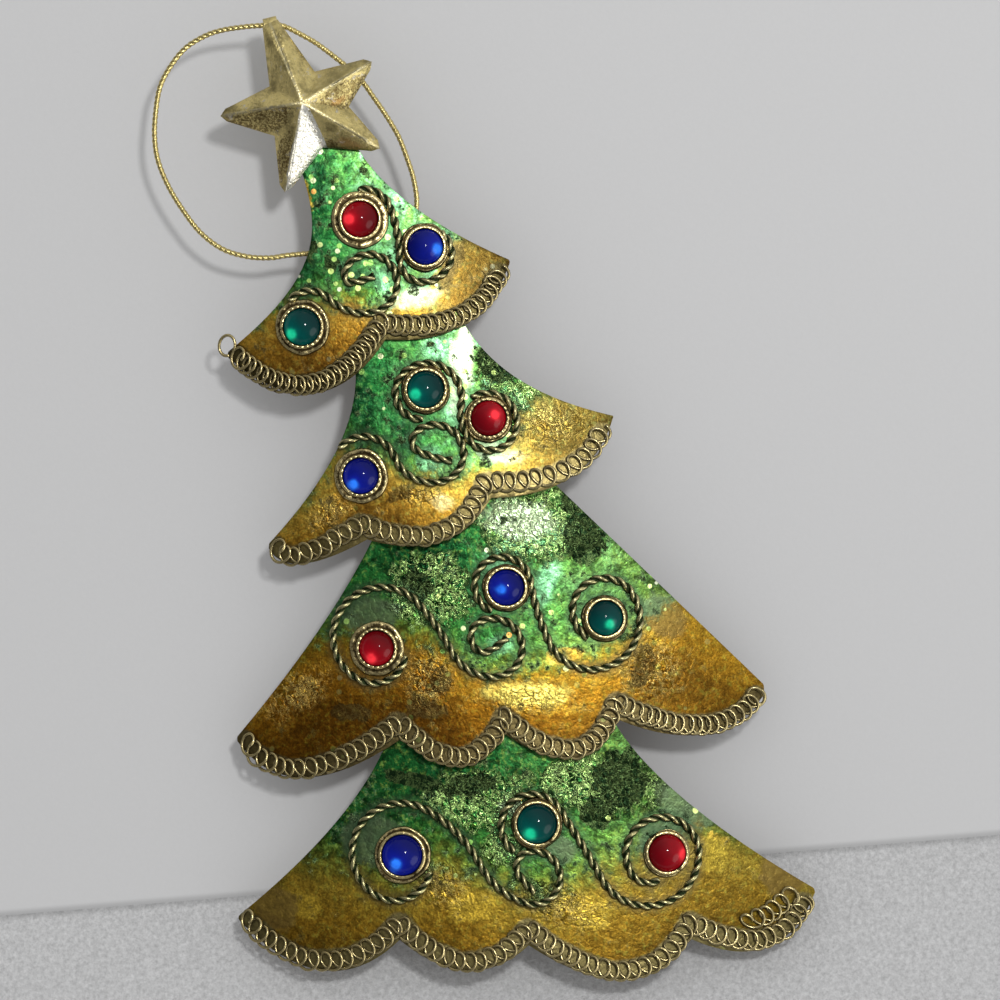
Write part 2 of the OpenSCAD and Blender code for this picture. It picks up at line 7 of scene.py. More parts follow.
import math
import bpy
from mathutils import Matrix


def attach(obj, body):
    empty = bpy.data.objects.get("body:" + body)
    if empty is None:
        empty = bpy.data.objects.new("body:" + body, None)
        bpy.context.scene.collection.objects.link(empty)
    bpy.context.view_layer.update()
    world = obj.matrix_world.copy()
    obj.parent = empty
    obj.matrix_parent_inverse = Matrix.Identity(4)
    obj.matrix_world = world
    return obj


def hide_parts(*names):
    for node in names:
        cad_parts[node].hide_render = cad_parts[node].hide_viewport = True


bl_info = {
    "name": "Sheet-metal tree ornament",
    "version": (1, 0, 0),
    "blender": (4, 5, 0),
    "location": "3D View > Sidebar > Ornament",
    "description": "Builds the finish of a leafed sheet-metal tree with wire trim and stones",
    "category": "Object",
}

from collections import namedtuple

import bmesh
import bpy
from mathutils import Euler, Matrix, Vector, noise
from mathutils.kdtree import KDTree

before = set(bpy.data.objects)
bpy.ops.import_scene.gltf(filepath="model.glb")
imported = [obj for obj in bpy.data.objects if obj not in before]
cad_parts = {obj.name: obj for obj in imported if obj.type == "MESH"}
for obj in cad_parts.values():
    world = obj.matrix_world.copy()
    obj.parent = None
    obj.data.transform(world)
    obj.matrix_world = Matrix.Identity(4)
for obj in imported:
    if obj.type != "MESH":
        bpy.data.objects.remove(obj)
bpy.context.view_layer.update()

MM = 0.001
COLOURS = ("red", "blue", "green")

# Tiers from the top one down, as in the solids. Edges are shares of the width. Shift and lap place
# the neck under the piece above. Pitch, from left to right, and short, the length left bare at the
# right, are the edge coil's.
TIERS = {
    1: dict(
        width=47.8, height=29, lean=18.1, neck=(3.4, 5.6), power=(4, 1.85), bow=85,
        shift=1.3, lap=-4.5, pitch=(1.25, 1.25, 1.2, 1.4, 1.35, 1.3), short=1.4,
        edge=[(-0.5, -0.019), (-0.287, -0.374), (0.021, -0.128), (0.314, -0.251), (0.495, -0.009)],
    ),
    2: dict(
        width=58.9, height=32, lean=20.4, neck=(5.3, 11.5), power=(2.7, 2.8), bow=105,
        shift=1.1, lap=2, gap=0.7, pitch=(1.85, 1.75, 1.7, 2.1, 2.2, 2), short=2.3,
        edge=[
            (-0.505, -0.013), (-0.487, -0.12), (-0.244, -0.085), (-0.047, -0.231),
            (0.111, -0.097), (0.367, -0.187), (0.5, -0.003),
        ],
    ),
    3: dict(
        width=85.2, height=40, lean=5.7, neck=(13, 8.2), power=(1.4, 1), bow=140,
        shift=6.2, lap=0.6, gap=1.1, pitch=(1.75, 1.7, 1.6, 1.6, 1.45, 1.4), short=0.3,
        edge=[
            (-0.5, -0.008), (-0.413, -0.156), (-0.192, -0.035), (-0.077, -0.153),
            (0.005, -0.045), (0.147, -0.164), (0.217, -0.038), (0.398, -0.135), (0.499, -0.019),
        ],
    ),
    4: dict(
        width=93.1, height=34, lean=2.9, neck=(19, 13.8), power=(1.7, 1.6), bow=170,
        shift=2.6, lap=2.8, gap=0.7, pitch=(2, 1.8, 1.65, 1.8, 1.8, 1.5), short=1.9,
        edge=[
            (-0.5, 0), (-0.353, -0.169), (-0.219, -0.051), (-0.101, -0.158),
            (0.002, -0.071), (0.185, -0.205), (0.281, -0.075), (0.434, -0.153), (0.501, -0.007),
        ],
    ),
}

# Sizes that the sheets share. They are gently uneven, and their edges are rounded.
SHEET = 0.45
SHEET_GRID = 0.9
SHEET_BEVEL = 0.11
SHEET_WAVE = 0.05
FLARE = math.radians(2)
CORNER_R = 0.8
STAR_GAP = 0.2
STAR_OVERLAP = 13
# How far the sheet is darkened round the wires and round the cups from a radius on, and how far
# the bare margin reaches in from the edge
WIRE_DARK_REACH = 2.2
CUP_DARK_REACH = (3.2, 2.2)
MARGIN_WIDTH = 2.9

# Middle lines of the edge coils: their step, and how far they keep from notches, edge and ends
COIL_STEP = 0.1
NOTCH_LIFT = 2.8
SETBACK = 1.45
END_SETBACK = 1.2

# A curl of an edge coil: its steps, its radii along and across the edge, and how far it tips up
CURL_STEPS = 22
CURL_ALONG = 1.25
CURL_ACROSS = 1.5
CURL_RISE = 0.42
# How uneven the curls are in pitch, size, place across the edge, and tip
UNEVEN_PITCH = 0.3
UNEVEN_SIZE = 0.12
UNEVEN_PLACE = 0.3
UNEVEN_TIP = 0.5
# Steps of the middle line over which a curl's heading is taken
HEADING_STEPS = 14

# A short second row of curls at the right end of the lowest tier
SECOND_ROW = [Vector((35.2, -5.1)), Vector((39, -3.5)), Vector((42.6, -1.1))]

# One curl of the top tier's coil that has sprung out past the left corner: its middle, half width,
# half height, turn, and the angles at which it starts and ends
STRAY_RING = ((-23.5, 1.05), 1.3, 1.65, -25, -30, 295)

# One stone and one wire wide: the unit that the trim is laid out in
TRIM_UNIT = 6.9
STONE_R = 2.9
DOME_H = 1.9
GIRDLE_H = 0.5
CUP_FLOOR = 0.38
CUP_TEETH = 24

Stone = namedtuple("Stone", "at size flange toothed bearing out")

# Place in trim units, share of a full stone, radius of the cup's bent flange, how deep the cup's
# rim is toothed, and where the light gathers: bearing to the left from up and share of the radius
STONES = {
    (1, "red"): Stone((0.44, 1.94), 1, 4.65, 0.15, 78, 0.6),
    (1, "blue"): Stone((1.66, 0.87), 1, 3.95, 0.3, 238, 0.62),
    (1, "green"): Stone((-1.59, -0.01), 1.04, 4.45, 0.7, 110, 0.6),
    (2, "red"): Stone((1.52, 0.92), 0.98, 3.9, 1, 275, 0.35),
    (2, "blue"): Stone((-1.69, 0.7), 1, 4.4, 0.7, 120, 0.6),
    (2, "green"): Stone((0.4, 2.05), 1.02, 3.95, 0.5, 98, 0.62),
    (3, "red"): Stone((-2.69, 1.72), 0.98, 4.45, 0.7, 150, 0.6),
    (3, "blue"): Stone((0.42, 2.82), 1, 3.85, 0.2, 105, 0.3),
    (3, "green"): Stone((2.62, 1.89), 0.97, 3.8, 0.1, 200, 0.4),
    (4, "red"): Stone((3.32, 1.01), 1.04, 3.75, 0.15, 262, 0.85),
    (4, "blue"): Stone((-2.78, 1.27), 1.14, 4.6, 0.15, 148, 0.5),
    (4, "green"): Stone((0.36, 1.84), 1.1, 4.15, 0.15, 142, 0.6),
}

# Colour of the light that gathers in a stone
GLOW_COLOURS = {"red": (0.95, 0.035, 0.05), "blue": (0.025, 0.2, 0.95), "green": (0.01, 0.55, 0.28)}

# Scrolls: start, heading, then bends as radius and turn
SCROLLS = {
    "scroll_1a": (
        (-1.69, 0.66), 33,
        [(0.62, -97), (1.11, 57), (0.69, 126), (0.62, 100), (0.36, 45), (0.13, 85), (1.8, 18)],
    ),
    "scroll_1b": (
        (0.63, 2.61), -9,
        [(0.76, -17), (0.63, -61), (3.42, -21), (0.52, 88), (0.68, 65), (0.62, 81)],
    ),
    "scroll_2a": (
        (-1.95, 1.48), 30,
        [(0.76, -119), (0.93, 87), (0.58, 14), (0.67, 180), (0.36, 50), (0.24, 70), (2, 24)],
    ),
    "scroll_2b": ((0.11, 1.43), 162, [(0.62, -133), (0.79, -148), (1.3, 35), (0.61, 120), (0.68, 156)]),
    "scroll_3a": (
        (-2.06, 1.48), -104,
        [
            (0.74, -110), (1.14, -200), (5.67, -14), (1.06, 62), (0.68, 204), (0.4, 110), (0.27, 75),
            (1.6, 18),
        ],
    ),
    "scroll_3b": ((0.04, 2.32), 152, [(0.65, -238), (5.75, 15), (1.09, 103), (1.16, 86), (0.75, 205)]),
    "scroll_4a": (
        (-2.16, 0.85), -105,
        [(0.84, -107), (1.15, -179), (3.13, -34), (1.84, 43), (0.62, 207), (0.36, 120), (3, 10)],
    ),
    "scroll_4b": ((-0.19, 1.23), 142, [(0.73, -201), (22.13, -5), (1.2, 152), (0.85, 211), (0.47, 89)]),
}

# Star: arms and valleys as angle to the left from straight up and distance from its centre
STAR_ARMS = [(22.2, 13.8), (98, 13), (168, 13.9), (240, 13.7), (302, 12.5)]
STAR_VALLEYS = [(62, 5.76), (138, 6.48), (205, 7.2), (267, 6.91), (341, 5.18)]
STAR_PEAK = 4.5
STAR_SHEET = 0.4
# Half width of an arm's blunt tip, and how far its corners fall back
STAR_TIP = (0.75, 0.7)
# Depth of the rim that is turned back, and the thickness of the wall
STAR_RIM = 0.38
STAR_WALL = 0.3
# Rounds that soften its folds, and the depth of its dents
STAR_SOFTENING = 3
STAR_DENTS = 0.07

# Patches on the star, of painted sheen, of brown speckle with painted shade, of other leaf and of
# painted shade: a middle, half width, half height, turn, and the facet's two bounding angles to the
# left from straight up
STAR_PATCHES = dict(
    painted_sheen=[(0.4, -8, 3.6, 9, -12, 168, 206)],
    dark=[
        (-7.3, -2.6, 6, 2.2, 8, 97, 139), (6.6, 1, 5.5, 2.3, 32, 266, 302),
        (6.4, -7.8, 4, 1, -30, 204, 241),
        (-3, -8, 1.2, 4, -12, 137, 168), (1, -4.2, 1.1, 1.8, 0, 168, 206),
    ],
    copper=[(7.6, -6.6, 2.6, 1.2, -30, 204, 241), (5.6, 0.4, 2, 0.6, 32, 266, 302)],
    shade=[(6.2, 4.4, 6, 2.4, 32, 302, 341)],
)

# The eye: the strip's width, outside radius and thickness, its lean and how far it is rolled
EYE_W = 2.2
EYE_R = 1.25
EYE_WALL = 0.36
EYE_TILT = math.radians(14)
EYE_TURN = math.radians(318)

# Where the green dye ends on each tier, and the gold below it begins
DYE_LINES = {
    1: [
        (-17, 3.5), (-12, 3.8), (-7.5, 2.7), (-3, 1.9), (2, -1.9), (8, -1.8), (11, -0.4),
        (14, 3.6), (17, 6.6), (24, 9),
    ],
    2: [
        (-22, 4.6), (-14, 10), (-8.5, 7.2), (-4.5, 1.8), (2, -1), (10, -0.8), (12.5, 1),
        (16, 5.6), (20, 7.6), (28, 9),
    ],
    3: [
        (-40, 7), (-29, 14), (-19, 14.5), (-10, 12), (-6, 8.4), (-2, 5.8), (4, 5.8), (18, 8), (25, 12.2),
        (31, 16), (39, 9),
    ],
    4: [
        (-44, 6), (-36, 9), (-28, 7), (-20, 3.5), (-13, 7.3), (-7, 4), (2.4, 0.8), (12, 4.4),
        (19, 6.4), (28, 10.4), (38, 8.6), (44, 4.7),
    ],
}

# Patches of other finish, among them painted sheen, painted mint sheen and painted dark reflections:
# middle, half width, half height and turn to the left in degrees
PATCHES = {
    1: dict(
        painted_sheen=[(7.3, -1.3, 4.8, 1.7, -6)],
        mint=[
            (8.8, 14, 2.2, 5.4, -40), (8.8, 19.6, 1.6, 1.6, -18), (3.4, 3, 1.6, 2.4, 0),
            (6.8, 5.6, 1.6, 3, 10), (11, 8.6, 1.2, 2.4, -50),
        ],
        deep=[
            (-5.4, 12.4, 1.7, 4.5, -18), (-7.7, 9, 2.4, 3.2, -38), (-2.2, 18.6, 1.3, 4, -18),
            (-2.6, 7, 2, 2, 0), (1.8, 14, 1, 3.4, -10), (-0.4, 4.8, 2.6, 2.2, 0),
            (-0.8, 22.5, 1.8, 2.6, 0),
        ],
        bright=[(-4.4, 19.6, 1.6, 3.6, -8)],
        dark=[(-6.2, 11, 0.8, 1.6, -18), (-3.6, 8.2, 0.9, 1.2, 0), (15, 2.3, 3.8, 1.4, 45)],
    ),
    2: dict(
        painted_sheen=[
            (9.2, 15.6, 2.1, 7.6, -27), (10, 0.8, 4.2, 1.6, -35), (-1.1, -3.6, 1.8, 1.6, -20),
        ],
        mint=[
            (6, 9.5, 2.2, 3, -20), (-0.4, 3.2, 2.6, 2.4, 0), (7, 19.6, 3, 2.4, -20),
            (4.6, 13, 1.6, 3, 0),
        ],
        dark=[(14.6, 14, 4.2, 2.1, -60), (-6.6, 0, 2.8, 0.9, 10)],
        deep=[(-7.7, 16.3, 2.8, 8, -8), (-9.5, 8.6, 2.6, 3.4, 0), (-3, 8, 2, 4, 0)],
        creased=[
            (16.2, 11.7, 6.1, 4.2, -55), (-18.4, 1.2, 4.8, 2.2, 10), (-4, -1.3, 4.5, 1.4, -20),
            (19.5, 2.6, 7.5, 4.6, -20),
        ],
    ),
    3: dict(
        painted_sheen=[(6.2, 30, 6.4, 3.2, -14), (4.8, 2.2, 7.6, 2, -8)],
        mint=[
            (9.4, 19.6, 2, 5, -26), (1.3, 10.4, 2.2, 1.7, 0), (7, 28.6, 7, 4, -14), (2.6, 24, 3, 3, 0),
        ],
        dark=[
            (16, 26, 3, 4.6, -6), (14.7, 31.9, 2.4, 1.8, -46), (-11.4, 21.2, 2.4, 3, -6),
            (-11.9, 1.4, 3.5, 1.7, -6), (-23.9, 2.1, 3.4, 1.2, -6), (-9.1, 5.8, 1.8, 2.2, -6),
            (23.4, 5, 1.8, 3.6, -16),
        ],
        deep=[(-9, 25, 8, 6, 0), (17, 28, 4, 6, 0)],
        dull=[(-19.2, 17.2, 5, 3.6, 0), (27.5, 12.5, 5, 3.4, -45)],
        creased=[
            (9.3, 28.9, 9.9, 6.1, -6), (-9.3, 20.3, 6.7, 6.1, -6), (-10.8, 6.2, 4.2, 5.2, -6),
            (24.5, 4.4, 5.8, 5.4, -6), (-32.5, 6, 7, 3.6, 24), (4.8, 1.6, 8, 3, -8),
        ],
        bright=[(6.5, 1, 7, 3.5, -11), (22.2, -2.9, 3.2, 1.3, -6), (11, 7.6, 4, 1.6, 0)],
    ),
    4: dict(
        painted_sheen=[(-1, 15.6, 2.4, 1.2, -3)],
        dark=[
            (16.4, 19, 4.6, 5, -3), (-16.6, 20.6, 4.8, 1.4, -15), (-7.9, 19.4, 4.6, 1.7, 5),
            (12, 14, 2.6, 2.6, 0),
        ],
        deep=[(14, 17.4, 8, 6, -3), (-12, 20, 9, 3.4, -3), (-27, 13, 4, 3, 30)],
        dull=[
            (-24, 11.4, 5.6, 4.6, 0), (6, 8.3, 2.8, 2.6, 0), (22.5, 8.5, 4.6, 4.6, 0), (42, 3, 4.4, 4.6, 0),
            (26, 14.4, 6, 3, -42), (-40, 1, 4, 4, 20),
        ],
        creased=[
            (12.9, 18.4, 10.6, 5.1, -3), (-6.4, 16.9, 9, 4.8, -3), (-3.6, 8.8, 3.5, 2.6, -3),
            (5.5, -0.5, 8, 3.5, -23), (-13, 3.5, 5, 3.5, -30),
        ],
        bright=[
            (-37.6, 1.7, 6.7, 3.2, -8), (-8.9, 0.2, 5.8, 3.5, -3), (9.5, -1.8, 5.4, 3.5, -18),
            (30, 6.5, 4.4, 4.2, 12),
        ],
    ),
}
PATCH_KINDS = ("painted_sheen", "mint", "dark", "deep", "dull", "creased", "bright")
SHEET_LAYERS = (*PATCH_KINDS, "dye", "near_trim", "margin", "back")

# Leaf of each tier: how slowly the dye fades into the gold, the share of painted mint sheen, the
# share of dots that glitter, creases outside the patches, the green's strength at the left edge
# (painted shade), over the tier and at the right (painted shade on the lower tiers), the leaf that
# shows through the dye, the gold's tint at the left and at the right, the blue in the painted sheen
# on the gold, and the bare metal under the edge coil, its tone partly painted shade between curls
LEAF = {
    1: dict(
        fade=1.0, cool=0.75, glitter=0.55, stray=0.2, left=0.35, all_over=1.2, right=1.2,
        shows=(0.17, 0.46, 0.1), left_gold=(0.9, 0.86, 0.8), right_gold=(0.4, 0.48, 0.75),
        sheen_blue=0.34, margin=(0.1, 0.08, 0.028),
    ),
    2: dict(
        fade=1.1, cool=0.6, glitter=0.24, stray=0.2, left=0.25, all_over=1.15, right=0.8,
        shows=(0.17, 0.46, 0.1), left_gold=(1.08, 1.1, 1.1), right_gold=(0.58, 0.8, 1.3),
        sheen_blue=0.34, margin=(0.27, 0.215, 0.08),
    ),
    3: dict(
        fade=1.2, cool=0.12, glitter=0.17, stray=0.5, left=0.6, all_over=1.0, right=0.55,
        shows=(0.28, 0.44, 0.08), left_gold=(0.62, 0.52, 0.28), right_gold=(0.68, 0.68, 0.46),
        sheen_blue=0.17, margin=(0.17, 0.13, 0.05),
    ),
    4: dict(
        fade=1.7, cool=0.05, glitter=0.04, stray=0.5, left=0.6, all_over=0.8, right=0.25,
        shows=(0.3, 0.4, 0.07), left_gold=(0.6, 0.64, 0.5), right_gold=(0.5, 0.58, 0.54),
        sheen_blue=0.17, margin=(0.22, 0.18, 0.07),
    ),
}

# Colour of the leaf by its height over the edge of the dye, from 10 mm below to 10 mm above
DYE_STOPS = [
    (0.0, (0.25, 0.12, 0.014)), (0.22, (0.5, 0.26, 0.028)), (0.4, (0.58, 0.36, 0.05)),
    (0.48, (0.36, 0.31, 0.045)), (0.56, (0.15, 0.23, 0.03)), (0.64, (0.06, 0.2, 0.03)),
    (0.74, (0.03, 0.19, 0.035)), (1.0, (0.016, 0.14, 0.03)),
]

# Colours that lie on the gold leaf and on the green
SHOWS_GOLD = (0.42, 0.42, 0.08)
# Painted shade in the folds of creased leaf, and painted highlight on its crests
FOLD_SHADE = ((0.58, 0.5, 0.36), (0.14, 0.28, 0.14))
CREST_HIGHLIGHTS = ((0.85, 0.66, 0.2), (0.62, 0.92, 0.3))
# Painted dark reflections of mirror-like leaf
DARK_REFLECTIONS = ((0.05, 0.03, 0.008), (0.007, 0.02, 0.006))
NEAR_TRIM_TONES = ((0.16, 0.12, 0.04), (0.045, 0.095, 0.045))
SATIN_GOLD = ((0.13, 0.085, 0.02), (0.3, 0.2, 0.055))
SATIN_GREEN = ((0.07, 0.11, 0.055), (0.17, 0.24, 0.12))
# Colour of the painted sheen on the green
SHEEN_ON_GREEN = (0.82, 1.0, 0.62)
THIN_DYE = (0.22, 0.36, 0.07)
DEEP_DYE = (0.004, 0.06, 0.016)
# Painted mint sheen
MINT_SHEEN = (0.26, 0.66, 0.34)
BRIGHT_GOLD = (0.95, 0.6, 0.08)
BROWN_SPECK = (0.03, 0.035, 0.01)
BACK_STAIN = (0.15, 0.1, 0.035)
# Glitter dots by their random tone
GLINTS = [
    (0.0, (0.01, 0.05, 0.012)), (0.16, (0.3, 0.62, 0.14)), (0.5, (0.66, 0.86, 0.26)),
    (0.76, (0.72, 0.86, 0.3)), (0.92, (0.85, 0.92, 0.66)), (0.93, (0.95, 0.48, 0.12)),
]

# Colours of the star's brown speckle with painted shade, its coppery places, its painted sheen and
# its painted highlight on the ridges, and of its specks
STAR_SPECKLE_AND_SHADE = (0.12, 0.075, 0.022)
STAR_COPPER = (0.38, 0.2, 0.06)
STAR_SHEEN = (1.0, 0.98, 0.9)
STAR_RIDGE_HIGHLIGHT = (0.86, 0.8, 0.58)
STAR_SPECK = (0.1, 0.07, 0.025)

# The coils are duller than the cups, which are of the same brass
COIL_TONE = 0.8
# The cord between its strands
CORD_GROOVE = (0.05, 0.036, 0.008)
# Tints of the stains on aged metal and of a stone away from its light, and the solder's greys
METAL_STAIN = (0.3, 0.28, 0.22)
STONE_SHADE = (0.3, 0.3, 0.35)
SOLDER_STOPS = [(0.3, (0.2, 0.2, 0.19)), (0.7, (0.5, 0.5, 0.48))]

# The cord loop's route from the knot round to the knot again
CORD_ROUTE = [
    (17.4, 1.9, -35.4), (14.8, 1.9, -35.8), (11, 1.8, -36.1), (7, 1.7, -36.4), (2.6, 1.5, -36.8),
    (-0.2, 1.3, -37.2), (-3.9, 1.3, -37), (-7.8, 1.3, -35.8), (-11.3, 1.3, -33.2),
    (-14.2, 1.3, -29.5), (-16.6, 1.3, -25.5), (-18.2, 1.3, -21.4), (-18.7, 1.3, -17.6),
    (-18.5, 1.3, -13.7), (-17.8, 1.2, -9.8), (-16.1, 1.1, -6.5), (-13.7, 1, -3.6),
    (-10.6, 0.7, -1.7), (-7.8, 0.4, -0.8), (-4.4, 0.1, -0.3), (-1.8, 0, -0.1), (0, 0, 0),
    (1.3, 0, 0), (2.6, 0, -0.4), (4.6, 0.2, -1.4), (7.1, 0.5, -2.8), (9.7, 0.8, -4.7),
    (12.2, 1, -6.7), (14.6, 1.1, -9), (16.4, 1.2, -11.5), (18.4, 1.3, -14.4),
    (20.4, 1.3, -17.8), (21.8, 1.4, -21.4), (22.8, 1.5, -24.6), (23.3, 1.7, -28.2),
    (22.7, 1.8, -31.4), (21, 1.9, -33.8), (19.4, 1.9, -34.9),
]
KNOT_AT = Vector((18.4, 1.9, -35.15))
# The knot's turns round its middle, its radius at the outside and how much that falls, its depth
KNOT_TURNS = 1.75
KNOT_R = 0.95
KNOT_DRAW = 0.35
KNOT_DEPTH = 0.62

# Corners of the wall and the shelf in metres. The shelf falls steeply, clear of the tree's foot.
WALL_CORNERS = [
    (-0.6, 0.0125, -0.1884), (0.7, 0.0125, -0.083), (0.7, 0.0125, 0.6), (-0.6, 0.0125, 0.6),
]
SHELF_CORNERS = [
    (-0.6, -0.15, -0.7244), (0.7, -0.15, -0.619), (0.7, 0.0125, -0.083), (-0.6, 0.0125, -0.1884),
]

# The key lamp, in metres and watts, and the camera
KEY_AT = (0.22, -1.0, 0.18)
KEY_TARGET = Vector((0.03, 0, -0.08))
KEY_SIZE = 0.11
KEY_POWER = 3.7
CAMERA_AT = (0.03664, -1.0, -0.076)
CAMERA_LENS = 225

# The window's direction and light, and the light that matt surfaces and the camera get
WINDOW_WAY = (0.83, -0.38, -0.41)
WINDOW_LIGHT = (2.6, 2.6, 2.5)
ROOM_LIGHT = (0.62, 0.62, 0.625)
BACKDROP = (0.58, 0.58, 0.58)
# What metal sees of the room, from the lower left to the upper right
ROOM_STOPS = [(0.0, (0.12, 0.12, 0.12)), (0.5, (0.36, 0.36, 0.35)), (1.0, (0.62, 0.62, 0.6))]


# Places on the tiers


def turned(angle, x, z):
    """Turns a flat vector to the left by an angle in degrees."""
    a = math.radians(angle)
    return x * math.cos(a) - z * math.sin(a), x * math.sin(a) + z * math.cos(a)


def drift(x, y, z):
    """Smooth noise of a place, the same on each run, from -1 to 1."""
    return noise.noise(Vector((x, y, z)))


def star_centre():
    """The star's centre, hung by its top arm from the eye."""
    angle, reach = STAR_ARMS[0]
    return reach * math.sin(math.radians(angle)), -reach * math.cos(math.radians(angle))


def star_rim_y():
    """Depth of the star's rim, level with the back of the eye."""
    return -EYE_R + STAR_SHEET / 20


def place_tiers():
    """Hangs each tier by its neck from the piece above, as the solids are."""
    above, lean_above = star_centre(), 0
    for n, tier in TIERS.items():
        dx, dz = turned(lean_above, tier["shift"], tier["lap"])
        neck_x, neck_z = turned(tier["lean"], 0, tier["height"])
        tier["at"] = (above[0] + dx - neck_x, above[1] + dz - neck_z)
        if n == 1:
            back = star_rim_y() + STAR_SHEET
            tier["y"] = back + STAR_GAP - (tier["height"] - STAR_OVERLAP) * math.sin(FLARE)
        else:
            drop = (tier["height"] - tier["lap"]) * math.sin(FLARE)
            tier["y"] = TIERS[n - 1]["y"] + SHEET + tier["gap"] - drop
        above, lean_above = tier["at"], tier["lean"]


def bow(n, x):
    """Depth of the bowed front of a tier at a place across it."""
    r = TIERS[n]["bow"]
    return r - math.sqrt(r * r - x * x)


def on_tier(n, x, y, z):
    """A point of a tier's own frame, in the row's frame and in metres."""
    tier = TIERS[n]
    point = Vector((x, y, z))
    point.rotate(Euler((-FLARE, 0, 0)))
    point.rotate(Euler((0, math.radians(-tier["lean"]), 0)))
    return (point + Vector((tier["at"][0], tier["y"], tier["at"][1]))) * MM


def curve(a, c, b, t):
    """A point on the arc from a to b that is drawn towards c."""
    return tuple((1 - t) ** 2 * p + 2 * t * (1 - t) * q + t * t * r for p, q, r in zip(a, c, b))


def flank(n, z, side):
    """Half width of a tier, on one side, at a height above its corners."""
    tier = TIERS[n]
    reach = tier["neck"][side]
    return reach + (tier["width"] / 2 - reach) * (1 - z / tier["height"]) ** tier["power"][side]


def sheet_outline(n):
    """Flat outline of a tier with its outer corners rounded."""
    tier = TIERS[n]
    edge = [(x * tier["width"], z * tier["width"]) for x, z in tier["edge"]]
    points = []
    for k in range(0, len(edge) - 1, 2):
        points += [curve(edge[k], edge[k + 1], edge[k + 2], j / 20) for j in range(20)]
    points.append(edge[-1])
    heights = [tier["height"] * (j / 24) ** 1.2 for j in range(25)]
    points += [(flank(n, z, 1), z) for z in heights]
    points += [(-flank(n, z, 0), z) for z in reversed(heights)]
    points = [p for p, q in zip(points, points[1:] + points[:1]) if math.dist(p, q) > 0.02]
    return round_corners([Vector(p) for p in points])


def round_corners(points):
    """Replaces each sharp outward corner with a short arc."""
    out = []
    for k, p in enumerate(points):
        before, after = p - points[k - 1], points[(k + 1) % len(points)] - p
        turn = math.atan2(before.x * after.y - before.y * after.x, before.dot(after))
        if turn < math.radians(35):
            out.append(p)
            continue
        back = min(CORNER_R * math.tan(turn / 2), before.length * 0.9, after.length * 0.9)
        start, end = p - before.normalized() * back, p + after.normalized() * back
        out += [Vector(curve(start, p, end, j / 5)) for j in range(6)]
    return out


# Meshes


def link(name, data):
    """A new object of the scene that holds the data."""
    obj = bpy.data.objects.new(name, data)
    bpy.context.scene.collection.objects.link(obj)
    return obj


def face_out(bm):
    """Turns the faces of a closed shape outwards."""
    bmesh.ops.recalc_face_normals(bm, faces=bm.faces)


def to_mesh(name, bm):
    """Turns a bmesh into a mesh and frees it."""
    mesh = bpy.data.meshes.new(name)
    bm.to_mesh(mesh)
    bm.free()
    return mesh


def piece(name, shape, body, material, node):
    """Links a shape as a piece that rides on a body, takes a finish and stands for a node."""
    mesh = to_mesh(name, shape) if isinstance(shape, bmesh.types.BMesh) else shape
    mesh.name = name
    obj = link(name, mesh)
    mesh.polygons.foreach_set("use_smooth", [True] * len(mesh.polygons))
    mesh.materials.clear()
    mesh.materials.append(material)
    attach(obj, body)
    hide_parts(node)
    return obj


def section_ring(name, points):
    """A closed flat curve used as the section of a wire or cord."""
    data = bpy.data.curves.new(name, "CURVE")
    data.dimensions = "2D"
    spline = data.splines.new("POLY")
    spline.points.add(len(points) - 1)
    for spot, (x, y) in zip(spline.points, points):
        spot.co = (x * MM, y * MM, 0, 1)
    spline.use_cyclic_u = True
    return link(name, data)


def strand_section(radius, strands, depth, sides):
    """Section of strands laid side by side: a circle with one lobe to each strand."""
    points = []
    for k in range(sides):
        a = 2 * math.pi * k / sides
        lobe = abs(math.cos(a * strands / 2))
        r = radius * (1 - depth * (1 - lobe))
        points.append((r * math.cos(a), r * math.sin(a)))
    return points


def sweep(name, lines, section, lay=None):
    """Sweeps a section along lines of points in metres and returns the mesh.

    With a lay, in millimetres to a full turn, the section twists as it goes.
    """
    data = bpy.data.curves.new(name, "CURVE")
    data.dimensions = "3D"
    data.twist_mode = "MINIMUM"
    ring = section_ring(name + "_section", section)
    data.bevel_mode = "OBJECT"
    data.bevel_object = ring
    data.use_fill_caps = True
    for points in lines:
        spline = data.splines.new("POLY")
        spline.points.add(len(points) - 1)
        run = 0
        for k, (spot, p) in enumerate(zip(spline.points, points)):
            spot.co = (*p, 1)
            if k:
                run += (p - points[k - 1]).length / MM
            spot.tilt = 2 * math.pi * run / lay if lay else 0
    obj = link(name, data)
    bpy.context.view_layer.update()
    made = bpy.data.meshes.new_from_object(obj.evaluated_get(bpy.context.evaluated_depsgraph_get()))
    for leftover in (obj, ring):
        curve_data = leftover.data
        bpy.data.objects.remove(leftover)
        bpy.data.curves.remove(curve_data)
    bm = bmesh.new()
    bm.from_mesh(made)
    bmesh.ops.remove_doubles(bm, verts=bm.verts, dist=1e-6)
    face_out(bm)
    bm.to_mesh(made)
    bm.free()
    return made


def tree_of(points):
    """A search tree of points."""
    tree = KDTree(len(points))
    for k, p in enumerate(points):
        tree.insert(p, k)
    tree.balance()
    return tree


def store_crest(mesh, lines, reach, to_front=False):
    """Stores how far each point of a wire stands out from its middle line, 0 to 1.

    To the front, the count runs from 0 behind the wire to 1 before it.
    """
    tree = tree_of([p for line in lines for p in line])
    crests = []
    for v in mesh.vertices:
        middle, _, away = tree.find(v.co)
        if to_front:
            crests.append(0.5 + (middle.y - v.co.y) / (2 * reach * MM))
        else:
            crests.append(min(1, away / (reach * MM)))
    mesh.attributes.new("crest", "FLOAT", "POINT").data.foreach_set("value", crests)


